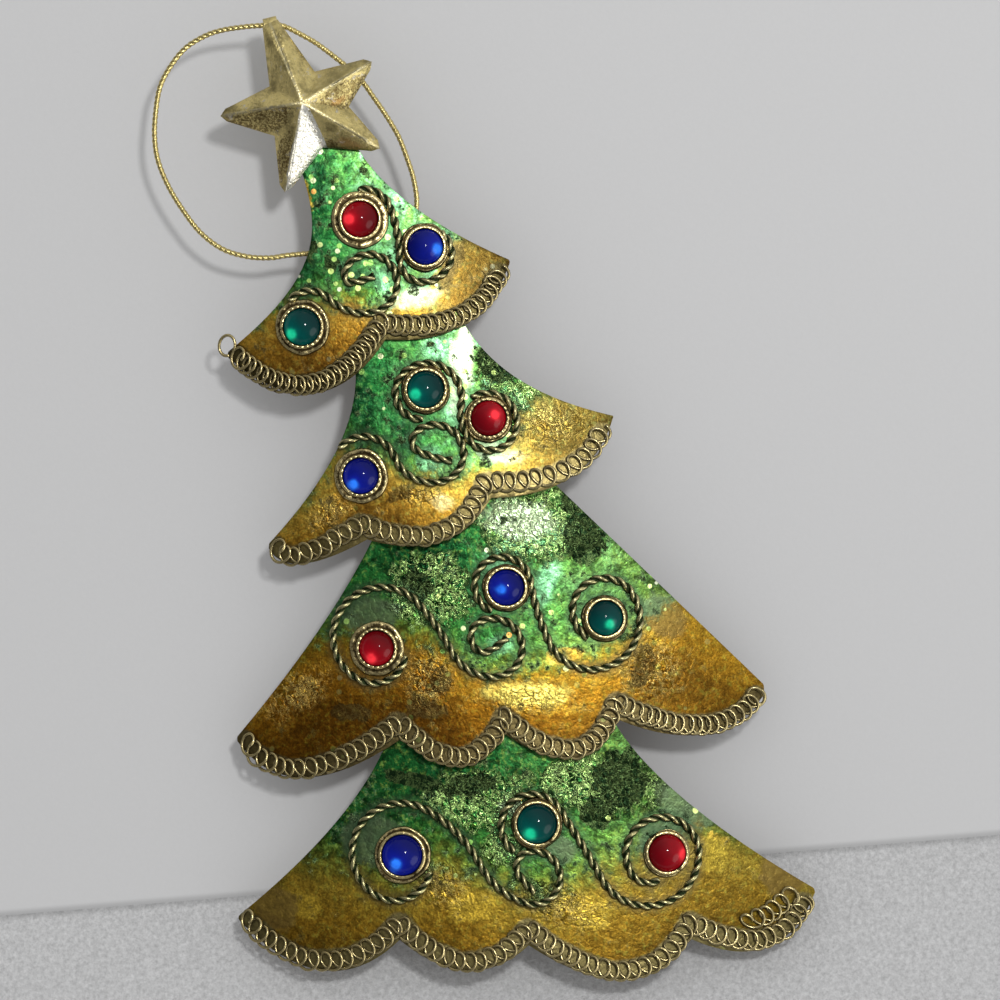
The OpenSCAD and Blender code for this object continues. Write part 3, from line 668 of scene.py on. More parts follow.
def resample(points, step):
    """Points of a line at even steps, in the line's own unit."""
    out, run, goal = [points[0]], 0, step
    for a, b in zip(points, points[1:]):
        length = (b - a).length
        while run + length >= goal:
            out.append(a.lerp(b, (goal - run) / length))
            goal += step
        run += length
    if (out[-1] - points[-1]).length > step * 0.3:
        out.append(points[-1])
    return out


def bevel(bm, sharpness, offset):
    """Rounds the edges of a closed shape that are sharper than an angle in radians."""
    sharp = [e for e in bm.edges if len(e.link_faces) == 2 and e.calc_face_angle() > sharpness]
    bmesh.ops.bevel(
        bm, geom=sharp, offset=offset, segments=2, profile=0.5, affect="EDGES", material=-1,
        clamp_overlap=True,
    )


def sheet_mesh(n):
    """A tier's sheet: its outline cut to a fine grid, thickened, bowed and set in place."""
    bm = bmesh.new()
    outline = sheet_outline(n)
    bm.faces.new([bm.verts.new((p.x, 0, p.y)) for p in outline])
    bm.normal_update()
    if bm.faces[:][0].normal.y > 0:
        bmesh.ops.reverse_faces(bm, faces=bm.faces)
    for axis, normal in ((0, (1, 0, 0)), (1, (0, 0, 1))):
        low = min(p[axis] for p in outline)
        high = max(p[axis] for p in outline)
        count = int((high - low) / SHEET_GRID)
        for k in range(1, count):
            # A little off the even step, so that no cut runs through a corner
            at = low + (high - low) * (k + 0.013) / count
            bmesh.ops.bisect_plane(
                bm, geom=bm.verts[:] + bm.edges[:] + bm.faces[:], dist=1e-4,
                plane_co=(at, 0, 0) if axis == 0 else (0, 0, at), plane_no=normal,
            )
    grown = bmesh.ops.extrude_face_region(bm, geom=bm.faces[:])
    back = [v for v in grown["geom"] if isinstance(v, bmesh.types.BMVert)]
    bmesh.ops.translate(bm, verts=back, vec=(0, SHEET, 0))
    face_out(bm)
    bevel(bm, 1.2, SHEET_BEVEL)
    paint_sheet(bm, n)
    for v in bm.verts:
        x, y, z = v.co
        wave = SHEET_WAVE * drift(x * 0.09, n * 7.3, z * 0.09)
        v.co = on_tier(n, x, y + bow(n, x) + wave, z)
    return bm


def dye_height(n, x):
    """Height of the edge of the dye at a place across a tier."""
    line = DYE_LINES[n]
    x = min(max(x, line[0][0]), line[-1][0])
    for (x0, z0), (x1, z1) in zip(line, line[1:]):
        if x <= x1:
            return z0 + (z1 - z0) * (x - x0) / (x1 - x0)
    return line[-1][1]


def patch_share(patches, x, z):
    """How deep in the nearest patch a place lies: 1 in the middle, 0 a little past its edge."""
    best = 0
    for px, pz, wide, tall, turn in patches:
        dx, dz = turned(-turn, x - px, z - pz)
        best = max(best, 1 - math.hypot(dx / wide, dz / tall) / 1.25)
    return best


def near(tree, x, z, reach):
    """Closeness to a row of flat points: 1 on them, 0 from the reach on."""
    return max(0, 1 - tree.find((x, 0, z))[2] / reach)


def paint_sheet(bm, n):
    """Stores the finish of a flat sheet as layers on its points."""
    layers = {name: bm.verts.layers.float.new(name) for name in SHEET_LAYERS}
    wires = [p for name in SCROLLS if int(name[-2]) == n for p in scroll_line(name)]
    wires = tree_of([(p.x, 0, p.y) for p in wires])
    edge = tree_of([(p.x, 0, p.y) for p in coil_line(n)])
    cups = [[part * TRIM_UNIT for part in STONES[n, colour].at] for colour in COLOURS]
    start, reach = CUP_DARK_REACH
    for v in bm.verts:
        x, y, z = v.co
        v[layers["dye"]] = z - dye_height(n, x)
        for kind in PATCH_KINDS:
            v[layers[kind]] = patch_share(PATCHES[n].get(kind, ()), x, z)
        cup = min(math.hypot(x - cx, z - cz) for cx, cz in cups)
        v[layers["near_trim"]] = max(near(wires, x, z, WIRE_DARK_REACH), min(1, 1 - (cup - start) / reach))
        beyond = z < edge.find((x, 0, z))[0].z
        v[layers["margin"]] = 1 if beyond else near(edge, x, z, MARGIN_WIDTH)
        v[layers["back"]] = 1 if y > SHEET * 0.6 else 0


def coil_line(n):
    """Middle line of the edge coil: the edge moved in and lifted over the notches."""
    tier = TIERS[n]
    edge = [Vector((x * tier["width"], z * tier["width"])) for x, z in tier["edge"]]
    last = len(edge) - 1
    line = []
    for k in range(0, last, 2):
        ends = []
        for j in (k, k + 2):
            inset = END_SETBACK if j == 0 else -END_SETBACK if j == last else 0
            lift = 0 if inset else NOTCH_LIFT
            ends.append((edge[j] + Vector((inset, lift)), lift))
        belly = edge[k + 1] + Vector((0, 2 * SETBACK - (ends[0][1] + ends[1][1]) / 2))
        line += [Vector(curve(ends[0][0], belly, ends[1][0], j / 40)) for j in range(40)]
    line.append(edge[last] + Vector((-END_SETBACK, 0)))
    return resample(line, COIL_STEP)[: -int(tier["short"] / COIL_STEP)]


def curl_places(n, line):
    """Places of the curls along a tier's coil line, at its own uneven pitch."""
    pitch = TIERS[n]["pitch"]
    places, at, last = [], 0, len(line) - 1
    while at < last:
        places.append(at)
        share = at / last * (len(pitch) - 1)
        k = min(int(share), len(pitch) - 2)
        step = pitch[k] + (pitch[k + 1] - pitch[k]) * (share - k)
        uneven = 1 + UNEVEN_PITCH * drift(len(places) * 0.83, n * 3.1, 0)
        at += step * uneven / COIL_STEP
    return places + [last]


def coil_points(n, line, wire_d):
    """A flattened coil, its curls lying over each other like fallen coins."""
    places = curl_places(n, line)
    last = len(line) - 1
    points = []
    for k in range(CURL_STEPS * (len(places) - 1) + 1):
        curl, part = divmod(k, CURL_STEPS)
        s = places[curl]
        if part:
            # The wire moves on to the next curl where it passes under the one before
            t = part / CURL_STEPS
            hidden = min(max((t - 0.25) / 0.5, 0), 1)
            s += (places[curl + 1] - s) * (0.4 * t + 0.6 * hidden * hidden * (3 - 2 * hidden))
        a = 2 * math.pi * part / CURL_STEPS
        q = k / CURL_STEPS
        size = 1 + UNEVEN_SIZE * drift(q * 0.8, n, 3)
        sway = UNEVEN_PLACE * drift(q * 0.7, n, 5)
        here = line[int(s)].lerp(line[min(int(s) + 1, last)], s % 1)
        ahead = line[min(int(s) + HEADING_STEPS, last)]
        behind = line[max(int(s) - HEADING_STEPS, 0)]
        along = (ahead - behind).normalized()
        up = Vector((-along.y, along.x))
        p = here + along * CURL_ALONG * size * math.cos(a)
        p += up * (CURL_ACROSS * size * math.sin(a) + sway)
        tip = 1 + UNEVEN_TIP * drift(q * 0.6, n, 8)
        depth = CURL_RISE * tip * (1 + math.cos(a)) + wire_d / 2 - 0.03
        points.append(on_tier(n, p.x, bow(n, p.x) - depth, p.y))
    return points


def stray_ring():
    """The curl of the top tier's coil that has sprung out."""
    (middle_x, middle_z), half_width, half_height, turn, start, end = STRAY_RING
    points = []
    for k in range(25):
        a = math.radians((end - start) * k / 24 + start)
        x, z = turned(turn, half_width * math.cos(a), half_height * math.sin(a))
        x, z = middle_x + x, middle_z + z
        points.append(on_tier(1, x, bow(1, x) - 0.3, z))
    return points


def scroll_line(name):
    """Flat middle line of a scroll wire, stepped finely along its bends."""
    start, heading, bends = SCROLLS[name]
    flat = [Vector(t * TRIM_UNIT for t in start)]
    for radius, turn in bends:
        radius *= TRIM_UNIT
        count = max(2, int(radius * math.radians(abs(turn)) / 0.22))
        side = 1 if turn > 0 else -1
        origin = flat[-1].copy()
        for j in range(1, count + 1):
            a = math.radians(abs(turn)) * j / count
            step = turned(heading, radius * math.sin(a), side * radius * (1 - math.cos(a)))
            flat.append(origin + Vector(step))
        heading += turn
    return flat


def scroll_points(name, rise):
    """Middle line of a scroll wire where it lies on its tier."""
    n = int(name[-2])
    return [on_tier(n, p.x, bow(n, p.x) - rise, p.y) for p in scroll_line(name)]


def lathe(profile, steps):
    """Turns a half section round the Z axis."""
    bm = bmesh.new()
    verts = [bm.verts.new((r, 0, z)) for r, z in profile]
    for a, b in zip(verts, verts[1:]):
        bm.edges.new((a, b))
    bmesh.ops.spin(
        bm, geom=bm.verts[:] + bm.edges[:], cent=(0, 0, 0), axis=(0, 0, 1),
        angle=2 * math.pi, steps=steps, use_merge=True,
    )
    bmesh.ops.remove_doubles(bm, verts=bm.verts, dist=1e-5)
    face_out(bm)
    return bm


def seat_on_tier(bm, key):
    """Stands a turned shape on its place, its Z axis straight off the bowed sheet."""
    n = key[0]
    x, z = (t * TRIM_UNIT for t in STONES[key].at)
    lean = math.asin(x / TIERS[n]["bow"])
    stand = Matrix.Rotation(lean, 4, "Z") @ Matrix.Rotation(math.pi / 2, 4, "X")
    for v in bm.verts:
        p = stand @ v.co
        v.co = on_tier(n, x + p.x, bow(n, x) + p.y, z + p.z)


def cup_mesh(key, r):
    """A cup: a toothed rim close round the stone and a rolled flange below it."""
    edge, toothed = STONES[key].flange, STONES[key].toothed
    mid = (edge + r + 0.6) / 2
    # Radius, height and how bright the spot is: bare brass with painted highlight on the rims
    profile = [
        (0, 0.03, 0), (edge - 0.2, 0.03, 0), (edge - 0.05, 0.12, 0.1), (edge, 0.34, 0.3),
        (edge - 0.05, 0.62, 0.6), (edge - 0.18, 0.8, 0.8), (mid, 0.86, 0.66), (r + 0.62, 0.76, 0.4),
        (r + 0.56, 0.76, 0.2), (r + 0.53, 1.0, 0.6), (r + 0.44, 1.26, 1.1), (r + 0.28, 1.38, 1.3),
        (r + 0.08, 1.36, 1), (r - 0.08, 1.3, 0.3), (r - 0.1, 1.22, 0), (r, 0.95, 0),
        (r, CUP_FLOOR, 0), (0, CUP_FLOOR, 0),
    ]
    bm = lathe([spot[:2] for spot in profile], 96)
    crest = bm.verts.layers.float.new("crest")
    seed = key[0] * 5 + r
    for v in bm.verts:
        reach, angle = math.hypot(v.co.x, v.co.y), math.atan2(v.co.y, v.co.x)
        v[crest] = min(profile, key=lambda spot: math.dist(spot[:2], (reach, v.co.z)))[2]
        ragged = drift(math.cos(angle) * 9, math.sin(angle) * 9, seed)
        tooth = toothed * max(0.0, math.sin(CUP_TEETH * angle)) * (1 + ragged)
        lump = drift(math.cos(angle) * 1.8, math.sin(angle) * 1.8, seed)
        if v.co.z > 1.2:
            v.co.z -= 0.2 * tooth + 0.06 * lump
            v[crest] -= 0.6 * tooth - 0.3 * ragged - 0.9 * lump
        elif reach > r + 0.6 and v.co.z > 0.1:
            v.co.xy *= 1 + 0.05 * lump
            v.co.z += (0.16 * lump + 0.1 * ragged) * min(1, v.co.z)
    return bm


def dome_mesh(key):
    """A domed stone, with the light that gathers in it stored on its points."""
    stone = STONES[key]
    r, rise = STONE_R * stone.size, DOME_H * stone.size
    ball = (r * r + rise * rise) / (2 * rise)
    base = CUP_FLOOR + 0.05
    full = math.asin(r / ball)
    profile = [(0, base), (r - 0.1, base), (r, base + 0.1)]
    for k in range(17):
        a = full * (1 - k / 16)
        profile.append((ball * math.sin(a), base + GIRDLE_H + rise - ball + ball * math.cos(a)))
    bm = lathe(profile, 56)
    glow = bm.verts.layers.float.new("glow")
    gx, gz = turned(stone.bearing, 0, stone.out * r)
    for v in bm.verts:
        spot = math.hypot(v.co.x - gx, v.co.y - gz) / r
        far_side = (v.co.x * gx + v.co.y * gz) / (r * r * max(stone.out, 0.3))
        body = max(0, 0.42 + 0.42 * far_side)
        v[glow] = min(1, math.exp(-((spot / 0.28) ** 2)) + 0.5 * body)
    return bm


def face_front(bm):
    """Turns the faces of an open shape to the front."""
    face_out(bm)
    if sum(f.normal.y * f.calc_area() for f in bm.faces) > 0:
        bmesh.ops.reverse_faces(bm, faces=bm.faces)


def star_mesh():
    """Folded star: softened ridges and folds, blunt tips, and the strip rolled round the cord."""
    bm = bmesh.new()
    centre = Vector(star_centre())
    rim = []
    for k, ((arm, reach), (valley, inner)) in enumerate(zip(STAR_ARMS, STAR_VALLEYS)):
        # The top arm ends square, where the strip of the eye leaves it
        half_tip, drop = STAR_TIP if k else (EYE_W / 2, 0)
        rim += [turned(arm, side * half_tip, reach - abs(side) * drop) for side in (1, 0, -1)]
        rim.append(turned(valley, 0, inner))
    front = [bm.verts.new((centre.x + x, star_rim_y(), centre.y + z)) for x, z in rim]
    peak = bm.verts.new((centre.x, star_rim_y() - STAR_PEAK, centre.y))
    for a, b in zip(front, front[1:] + front[:1]):
        bm.faces.new((peak, b, a))
    face_front(bm)
    bmesh.ops.subdivide_edges(bm, edges=bm.edges[:], cuts=7, use_grid_fill=True)
    for _ in range(STAR_SOFTENING):
        inner = [v for v in bm.verts if not v.is_boundary]
        bmesh.ops.smooth_vert(
            bm, verts=inner, factor=0.32, use_axis_x=False, use_axis_y=True, use_axis_z=False
        )
    for v in bm.verts:
        if not v.is_boundary:
            v.co.y += STAR_DENTS * drift(*(v.co * 0.5))
    lip = bmesh.ops.extrude_edge_only(bm, edges=[e for e in bm.edges if e.is_boundary])
    lip_verts = [g for g in lip["geom"] if isinstance(g, bmesh.types.BMVert)]
    bmesh.ops.translate(bm, verts=lip_verts, vec=(0, STAR_RIM, 0))
    face_front(bm)
    bmesh.ops.solidify(bm, geom=bm.faces[:], thickness=-STAR_WALL)
    paint_star(bm, centre)
    eye = to_mesh("rolled_eye", rolled_eye())
    bm.from_mesh(eye)
    bpy.data.meshes.remove(eye)
    for v in bm.verts:
        v.co *= MM
    face_out(bm)
    return bm


def paint_star(bm, centre):
    """Stores the patches on the star's facets, and its ridges, as layers on its points."""
    layers = {name: bm.verts.layers.float.new(name) for name in (*STAR_PATCHES, "ridge")}
    for v in bm.verts:
        x, z = v.co.x - centre.x, v.co.z - centre.y
        bearing = math.degrees(math.atan2(-x, z)) % 360
        for name, patches in STAR_PATCHES.items():
            on_facet = [spot[:5] for spot in patches if spot[5] < bearing < spot[6]]
            v[layers[name]] = patch_share(on_facet, x, z)
        off = min(abs((bearing - angle + 180) % 360 - 180) for angle, _ in STAR_ARMS)
        v[layers["ridge"]] = max(0, 1 - math.hypot(x, z) * math.radians(off) / 0.5)


def rolled_eye():
    """The strip at the star's top arm, rolled back round the cord."""
    bm = bmesh.new()
    along = Vector((math.cos(EYE_TILT), 0, math.sin(EYE_TILT)))
    inside = EYE_R - EYE_WALL
    corners = ((-1, EYE_R), (1, EYE_R), (1, inside), (-1, inside))
    face = bm.faces.new(
        [bm.verts.new(along * EYE_W * side / 2 + Vector((0, -r, 0))) for side, r in corners]
    )
    bmesh.ops.spin(
        bm, geom=[face], cent=(0, 0, 0), axis=-along, angle=EYE_TURN, steps=40, use_merge=False
    )
    face_out(bm)
    bevel(bm, 1.0, 0.07)
    return bm


def smooth_route(points):
    """A smooth line through the points of a route."""
    out = []
    last = len(points) - 1
    for k in range(last):
        a, b, c, d = (points[min(max(j, 0), last)] for j in (k - 1, k, k + 1, k + 2))
        for j in range(8):
            t = j / 8
            out.append(
                (2 * b + (c - a) * t + (2 * a - 5 * b + 4 * c - d) * t**2
                 + (3 * b - a - 3 * c + d) * t**3) / 2
            )
    out.append(points[-1])
    return out


def overhand_knot():
    """The loop's two ends tied together, with two short tails."""
    turns = []
    for k in range(57):
        a = 2 * math.pi * k / 56 * KNOT_TURNS
        wide = KNOT_R - KNOT_DRAW * k / 56
        y = KNOT_DEPTH * math.sin(a) * math.cos(a / 2)
        turns.append(KNOT_AT + Vector((wide * math.cos(a), y, KNOT_R * math.sin(a))))
    tails = [
        [KNOT_AT + Vector((side * (0.5 + 0.22 * k / 2), 0, -0.6 - k * 0.42)) for k in range(10)]
        for side in (-1, 1)
    ]
    return [[p * MM for p in line] for line in (turns, *tails)]


# Nodes


class Net:
    """Adds nodes to a tree. An input may be a value or another node's output."""

    def __init__(self, tree):
        self.tree = tree

    def put(self, socket, value):
        """Feeds an input. A colour may be given as three parts, or as one for a grey."""
        if isinstance(value, bpy.types.NodeSocket):
            self.tree.links.new(value, socket)
        elif socket.type == "RGBA":
            red, green, blue = value if hasattr(value, "__len__") else (value, value, value)
            socket.default_value = (red, green, blue, 1)
        else:
            socket.default_value = value

    def add(self, kind, inputs=None, **settings):
        """Adds a node, its settings made before its inputs are fed."""
        made = self.tree.nodes.new(kind)
        for key, value in settings.items():
            setattr(made, key, value)
        for key, value in (inputs or {}).items():
            self.put(made.inputs[key], value)
        return made

    def maths(self, operation, *values):
        return self.add("ShaderNodeMath", dict(enumerate(values)), operation=operation).outputs[0]

    def times(self, a, b):
        return self.maths("MULTIPLY", a, b)

    def times_plus(self, a, b, c):
        return self.maths("MULTIPLY_ADD", a, b, c)

    def span(self, value, low, high, to_low=0.0, to_high=1.0):
        """Maps a value smoothly from one span to another."""
        made = self.add(
            "ShaderNodeMapRange",
            {"Value": value, "From Min": low, "From Max": high, "To Min": to_low, "To Max": to_high},
            interpolation_type="SMOOTHSTEP",
        )
        return made.outputs["Result"]

    def mix(self, factor, a, b, blend="MIX"):
        """Colour a at a factor of 0 and colour b at 1."""
        made = self.add(
            "ShaderNodeMix", {0: factor, 6: a, 7: b}, data_type="RGBA", blend_type=blend,
            clamp_factor=True,
        )
        return made.outputs[2]

    def tint(self, colour, by):
        """A colour multiplied by another."""
        return self.mix(1.0, colour, by, "MULTIPLY")

    def noise(self, vector, scale, detail=4.0, roughness=0.55, distortion=0.0):
        made = self.add(
            "ShaderNodeTexNoise",
            {"Vector": vector, "Scale": scale, "Detail": detail, "Roughness": roughness,
             "Distortion": distortion},
        )
        return made.outputs["Fac"]

    def cells(self, vector, scale, feature="F1"):
        """Outputs of a field of random cells."""
        inputs = {"Vector": vector, "Scale": scale, "Randomness": 1.0}
        return self.add("ShaderNodeTexVoronoi", inputs, feature=feature).outputs

    def ramp(self, value, stops):
        made = self.add("ShaderNodeValToRGB", {"Fac": value})
        bar = made.color_ramp
        while len(bar.elements) > 1:
            bar.elements.remove(bar.elements[-1])
        for k, (position, colour) in enumerate(stops):
            spot = bar.elements[0] if k == 0 else bar.elements.new(position)
            spot.position = position
            spot.color = (*colour, 1)
        return made.outputs["Color"]

    def layer(self, name):
        """A value stored on the points of the mesh."""
        return self.add("ShaderNodeAttribute", attribute_name=name).outputs["Fac"]

    def split(self, vector):
        return self.add("ShaderNodeSeparateXYZ", {"Vector": vector}).outputs

    def group(self, name, **inputs):
        return self.add("ShaderNodeGroup", inputs, node_tree=node_group(name)).outputs

    def bump(self, height, strength, distance):
        """The normal of a relief, its distance in millimetres."""
        inputs = {"Height": height, "Strength": strength, "Distance": distance * MM}
        return self.add("ShaderNodeBump", inputs).outputs["Normal"]

    def principled(self, **inputs):
        """The surface shader. An underscore in an input's name stands for a blank."""
        inputs = {label.replace("_", " "): value for label, value in inputs.items()}
        return self.add("ShaderNodeBsdfPrincipled", inputs).outputs[0]

    def finish(self, surface):
        """Gives the material its surface."""
        self.add("ShaderNodeOutputMaterial", {"Surface": surface})


def strokes(net, given):
    """Short straight scratches of torn leaf, lying across each other in three directions."""
    shown = None
    for turn, place in ((0.35, 0.0), (1.35, 31.0), (2.45, 67.0)):
        laid = net.add(
            "ShaderNodeMapping",
            {"Vector": given["Vector"], "Location": (place, 0, place), "Rotation": (0, turn, 0),
             "Scale": (1.9, 1.0, 0.45)},
            vector_type="TEXTURE",
        ).outputs["Vector"]
        wave = net.noise(laid, net.maths("DIVIDE", 1.0, given["Size"]), 2.0, 0.6)
        line = net.span(net.maths("ABSOLUTE", net.maths("SUBTRACT", wave, 0.5)), 0.028, 0.008)
        shown = net.maths("MAXIMUM", shown, line) if shown else line
    broken = net.noise(given["Vector"], net.maths("DIVIDE", 0.8, given["Size"]), 2.0, 0.6)
    return {"Mask": net.times(shown, net.span(broken, 0.42, 0.52))}


def creases(net, given):
    """Crumpled metal leaf: thin sharp creases between small flat facets."""
    warp = net.add(
        "ShaderNodeTexNoise", {"Vector": given["Vector"], "Scale": 0.7, "Detail": 3.0},
    ).outputs["Color"]
    pushed = net.add(
        "ShaderNodeVectorMath", {0: warp, 1: (2.2, 2.2, 2.2), 2: given["Vector"]},
        operation="MULTIPLY_ADD",
    ).outputs[0]
    scale = net.maths("DIVIDE", 1.0, given["Cell"])
    wide = net.cells(pushed, scale, "DISTANCE_TO_EDGE")["Distance"]
    facets = net.cells(pushed, net.times(scale, 1.6))
    tone = net.add("ShaderNodeSeparateColor", {"Color": facets["Color"]}).outputs["Red"]
    height = net.times_plus(net.span(wide, 0.0, 0.22), 0.9, facets["Distance"])
    return {"Thread": net.span(wide, 0.06, 0.01), "Height": height, "Tone": tone}


def glitter_dots(net, given):
    """Scattered round dots, with a random tone for each."""
    cells = net.cells(given["Vector"], net.maths("DIVIDE", 1.0, given["Spacing"]))
    random = net.add("ShaderNodeSeparateColor", {"Color": cells["Color"]}).outputs
    dot = net.span(cells["Distance"], net.times(given["Dot"], 1.25), given["Dot"])
    chosen = net.maths("GREATER_THAN", random["Green"], net.maths("SUBTRACT", 1.0, given["Share"]))
    return {"Mask": net.times(dot, chosen), "Tone": random["Blue"]}


# What builds each node group, its inputs beside the vector, and its outputs
GROUPS = {
    "Leaf strokes": (strokes, {"Size": 1.0}, ("Mask",)),
    "Leaf creases": (creases, {"Cell": 1.0}, ("Thread", "Height", "Tone")),
    "Glitter dots": (glitter_dots, {"Spacing": 3.0, "Dot": 0.18, "Share": 0.3}, ("Mask", "Tone")),
}


def node_group(name):
    """A shader node group, made once and found again by its name."""
    tree = bpy.data.node_groups.get(name)
    if tree:
        return tree
    build, inputs, outputs = GROUPS[name]
    tree = bpy.data.node_groups.new(name, "ShaderNodeTree")
    tree.interface.new_socket("Vector", in_out="INPUT", socket_type="NodeSocketVector")
    for label, value in inputs.items():
        socket = tree.interface.new_socket(label, in_out="INPUT", socket_type="NodeSocketFloat")
        socket.default_value = value
    for label in outputs:
        tree.interface.new_socket(label, in_out="OUTPUT", socket_type="NodeSocketFloat")
    net = Net(tree)
    net.add("NodeGroupOutput", build(net, net.add("NodeGroupInput").outputs))
    return tree


def new_material(name, at=(0, 0, 0), turn=0.0):
    """A node material, its net, and its coordinates in millimetres from a place in metres."""
    material = bpy.data.materials.new(name)
    material.use_nodes = True
    material.node_tree.nodes.clear()
    net = Net(material.node_tree)
    coords = net.add("ShaderNodeTexCoord").outputs["Object"]
    mapped = net.add(
        "ShaderNodeMapping",
        {"Vector": coords, "Location": at, "Rotation": (0, turn, 0), "Scale": (MM, MM, MM)},
        vector_type="TEXTURE",
    )
    return material, net, mapped.outputs["Vector"]


class Foil:
    """Dyed metal leaf over satin sheet: green above, amber gold below, creased and speckled."""

    def __init__(self, n, bare_metal):
        tier = TIERS[n]
        x, z = tier["at"]
        self.leaf = LEAF[n]
        self.bare_metal = bare_metal
        self.width = tier["width"]
        self.material, self.net, self.p = new_material(
            "foil_tier_%d" % n, (x * MM, 0, z * MM), math.radians(-tier["lean"])
        )
        net = self.net
        self.across = net.split(self.p)["X"]
        self.layer = {name: net.layer(name) for name in SHEET_LAYERS}
        self.tear = net.maths("SUBTRACT", net.noise(self.p, 0.42, 6.0, 0.68), 0.5)
        self.mottle = net.noise(self.p, 1.1, 6.0, 0.72)
        self.speck = net.span(net.noise(self.p, 3.0, 4.0, 0.7), 0.36, 0.64, 0.66, 1.3)
        level = net.times_plus(self.tear, 11.0, self.layer["dye"])
        level = net.times_plus(net.maths("SUBTRACT", self.mottle, 0.5), 3.0, level)
        self.level = net.maths("DIVIDE", level, self.leaf["fade"])
        self.green = net.span(self.level, -1.0, 1.0)
        lean = net.times_plus(self.tear, 30.0, self.across)
        self.right = net.span(lean, self.width * -0.1, self.width * 0.38)

    def torn(self, name, low, high, ragged=1.5):
        """A layer's mask with a torn edge."""
        return self.net.span(self.net.times_plus(self.tear, ragged, self.layer[name]), low, high)

    def on_leaf(self, gold, green):
        """One value for the gold leaf and another for the green."""
        return self.net.mix(self.green, gold, green)

    def make(self):
        """Lays the finish on in its own order and returns the material."""
        net = self.net
        colour = self.mottled(self.dyed())
        crumple = net.group("Leaf creases", Vector=self.p, Cell=1.7)
        scratches = net.group("Leaf strokes", Vector=self.p, Size=0.9)["Mask"]
        thread = net.maths("MAXIMUM", scratches, net.times(crumple["Thread"], 0.55))
        crest = self.on_leaf(*CREST_HIGHLIGHTS)
        creased = self.creased()
        colour = self.crumpled(colour, creased, crumple["Tone"], thread, crest)
        colour = self.patches_and_painted_light(colour, thread, crest)
        colour = self.margin_trim_and_specks(colour)
        colour = self.glittered(colour)
        stained = net.mix(net.span(self.mottle, 0.4, 0.65), self.bare_metal, BACK_STAIN)
        colour = net.mix(self.layer["back"], colour, stained)
        rough = net.mix(creased, net.span(self.mottle, 0.35, 0.7, 0.3, 0.44), 0.26)
        folded = net.times(creased, self.on_leaf(0.45, 0.8))
        relief = net.times(crumple["Height"], net.maths("ADD", folded, 0.1))
        relief = net.times_plus(self.mottle, 0.35, relief)
        relief = net.times_plus(net.times(scratches, creased), 0.3, relief)
        net.finish(
            net.principled(
                Base_Color=colour, Metallic=0.94, Roughness=rough,
                Normal=net.bump(relief, 0.6, 0.22),
            )
        )
        return self.material

    def dyed(self):
        """The dye, with painted shade at its flanks: thinning to yellow green at the right, run in places.
        """
        net, leaf, width = self.net, self.leaf, self.width
        dyed = net.ramp(net.times_plus(self.level, 0.05, 0.5), DYE_STOPS)
        dyed = net.mix(net.times(net.times(self.right, self.green), 0.62), dyed, THIN_DYE)
        # Painted shade: the green darkens toward the left flank, and toward the right flank on the lower
        # tiers
        lean = net.times_plus(self.tear, 16.0, self.across)
        left_flank_shade = net.span(lean, width * -0.42, width * -0.06, leaf["left"], 1.0)
        gain_and_right_flank_shade = net.span(lean, width * 0.14, width * 0.32, leaf["all_over"], leaf["right"])
        dyed = net.tint(dyed, self.on_leaf(1.0, net.times(left_flank_shade, gain_and_right_flank_shade)))
        run = net.times(self.torn("deep", 0.05, 0.7, 1.2), self.green)
        return net.mix(net.times(run, 0.85), dyed, DEEP_DYE)

    def mottled(self, dyed):
        """Light and dark mottling of the dye, and the leaf showing through it."""
        net, leaf, mottle = self.net, self.leaf, self.mottle
        shows = self.on_leaf(SHOWS_GOLD, leaf["shows"])
        colour = net.mix(net.span(mottle, 0.5, 0.68, 0.0, 0.8), dyed, net.mix(0.6, dyed, shows))
        # Painted mint sheen, stronger toward the right and in the mint patches
        cool = net.span(net.noise(self.p, 0.3, 4.0, 0.7, 0.8), 0.46, 0.62, 0.0, leaf["cool"])
        cool = net.times(cool, net.span(self.right, 0.0, 0.7, 0.12, 1.0))
        cool = net.maths("MAXIMUM", cool, net.times(self.torn("mint", 0.02, 0.6, 1.4), 0.75))
        cool = net.times(cool, net.span(mottle, 0.3, 0.6, 0.45, 1.0))
        colour = net.mix(net.times(cool, self.green), colour, MINT_SHEEN)
        colour = net.mix(self.torn("bright", 0.3, 0.5), colour, net.mix(0.75, colour, BRIGHT_GOLD))
        blot = net.span(net.noise(self.p, 0.55, 5.0, 0.65, 0.6), 0.32, 0.66)
        blot = self.on_leaf(net.span(blot, 0.0, 1.0, 0.72, 1.15), net.span(blot, 0.0, 1.0, 0.4, 1.5))
        colour = net.tint(colour, net.times(blot, self.speck))
        gold_tint = net.mix(self.right, leaf["left_gold"], leaf["right_gold"])
        return net.tint(colour, self.on_leaf(gold_tint, (1.0, 1.0, 1.0)))

    def creased(self):
        """Where the leaf is creased: in its patches and in stray places, not on the back."""
        net = self.net
        fold = self.on_leaf(self.torn("creased", 0.0, 0.8, 1.1), self.torn("creased", 0.12, 0.3))
        stray = net.span(self.tear, 0.12, 0.22, 0.0, self.leaf["stray"])
        stray = net.times(stray, self.on_leaf(0.3, 1.0))
        creased = net.maths("MAXIMUM", fold, stray)
        return net.times(creased, net.maths("SUBTRACT", 1.0, self.layer["back"]))

    def crumpled(self, colour, creased, tone, thread, crest):
        """Painted highlights on the crests and painted shade in the hollows where the leaf is creased."""
        net = self.net
        deep = net.tint(colour, self.on_leaf(*FOLD_SHADE))
        level = net.times_plus(tone, 0.5, self.mottle)
        hollow = net.mix(net.span(level, 0.55, 0.85), deep, colour)
        lit = net.times(thread, self.on_leaf(0.55, 0.95))
        return net.mix(creased, colour, net.mix(lit, hollow, crest))

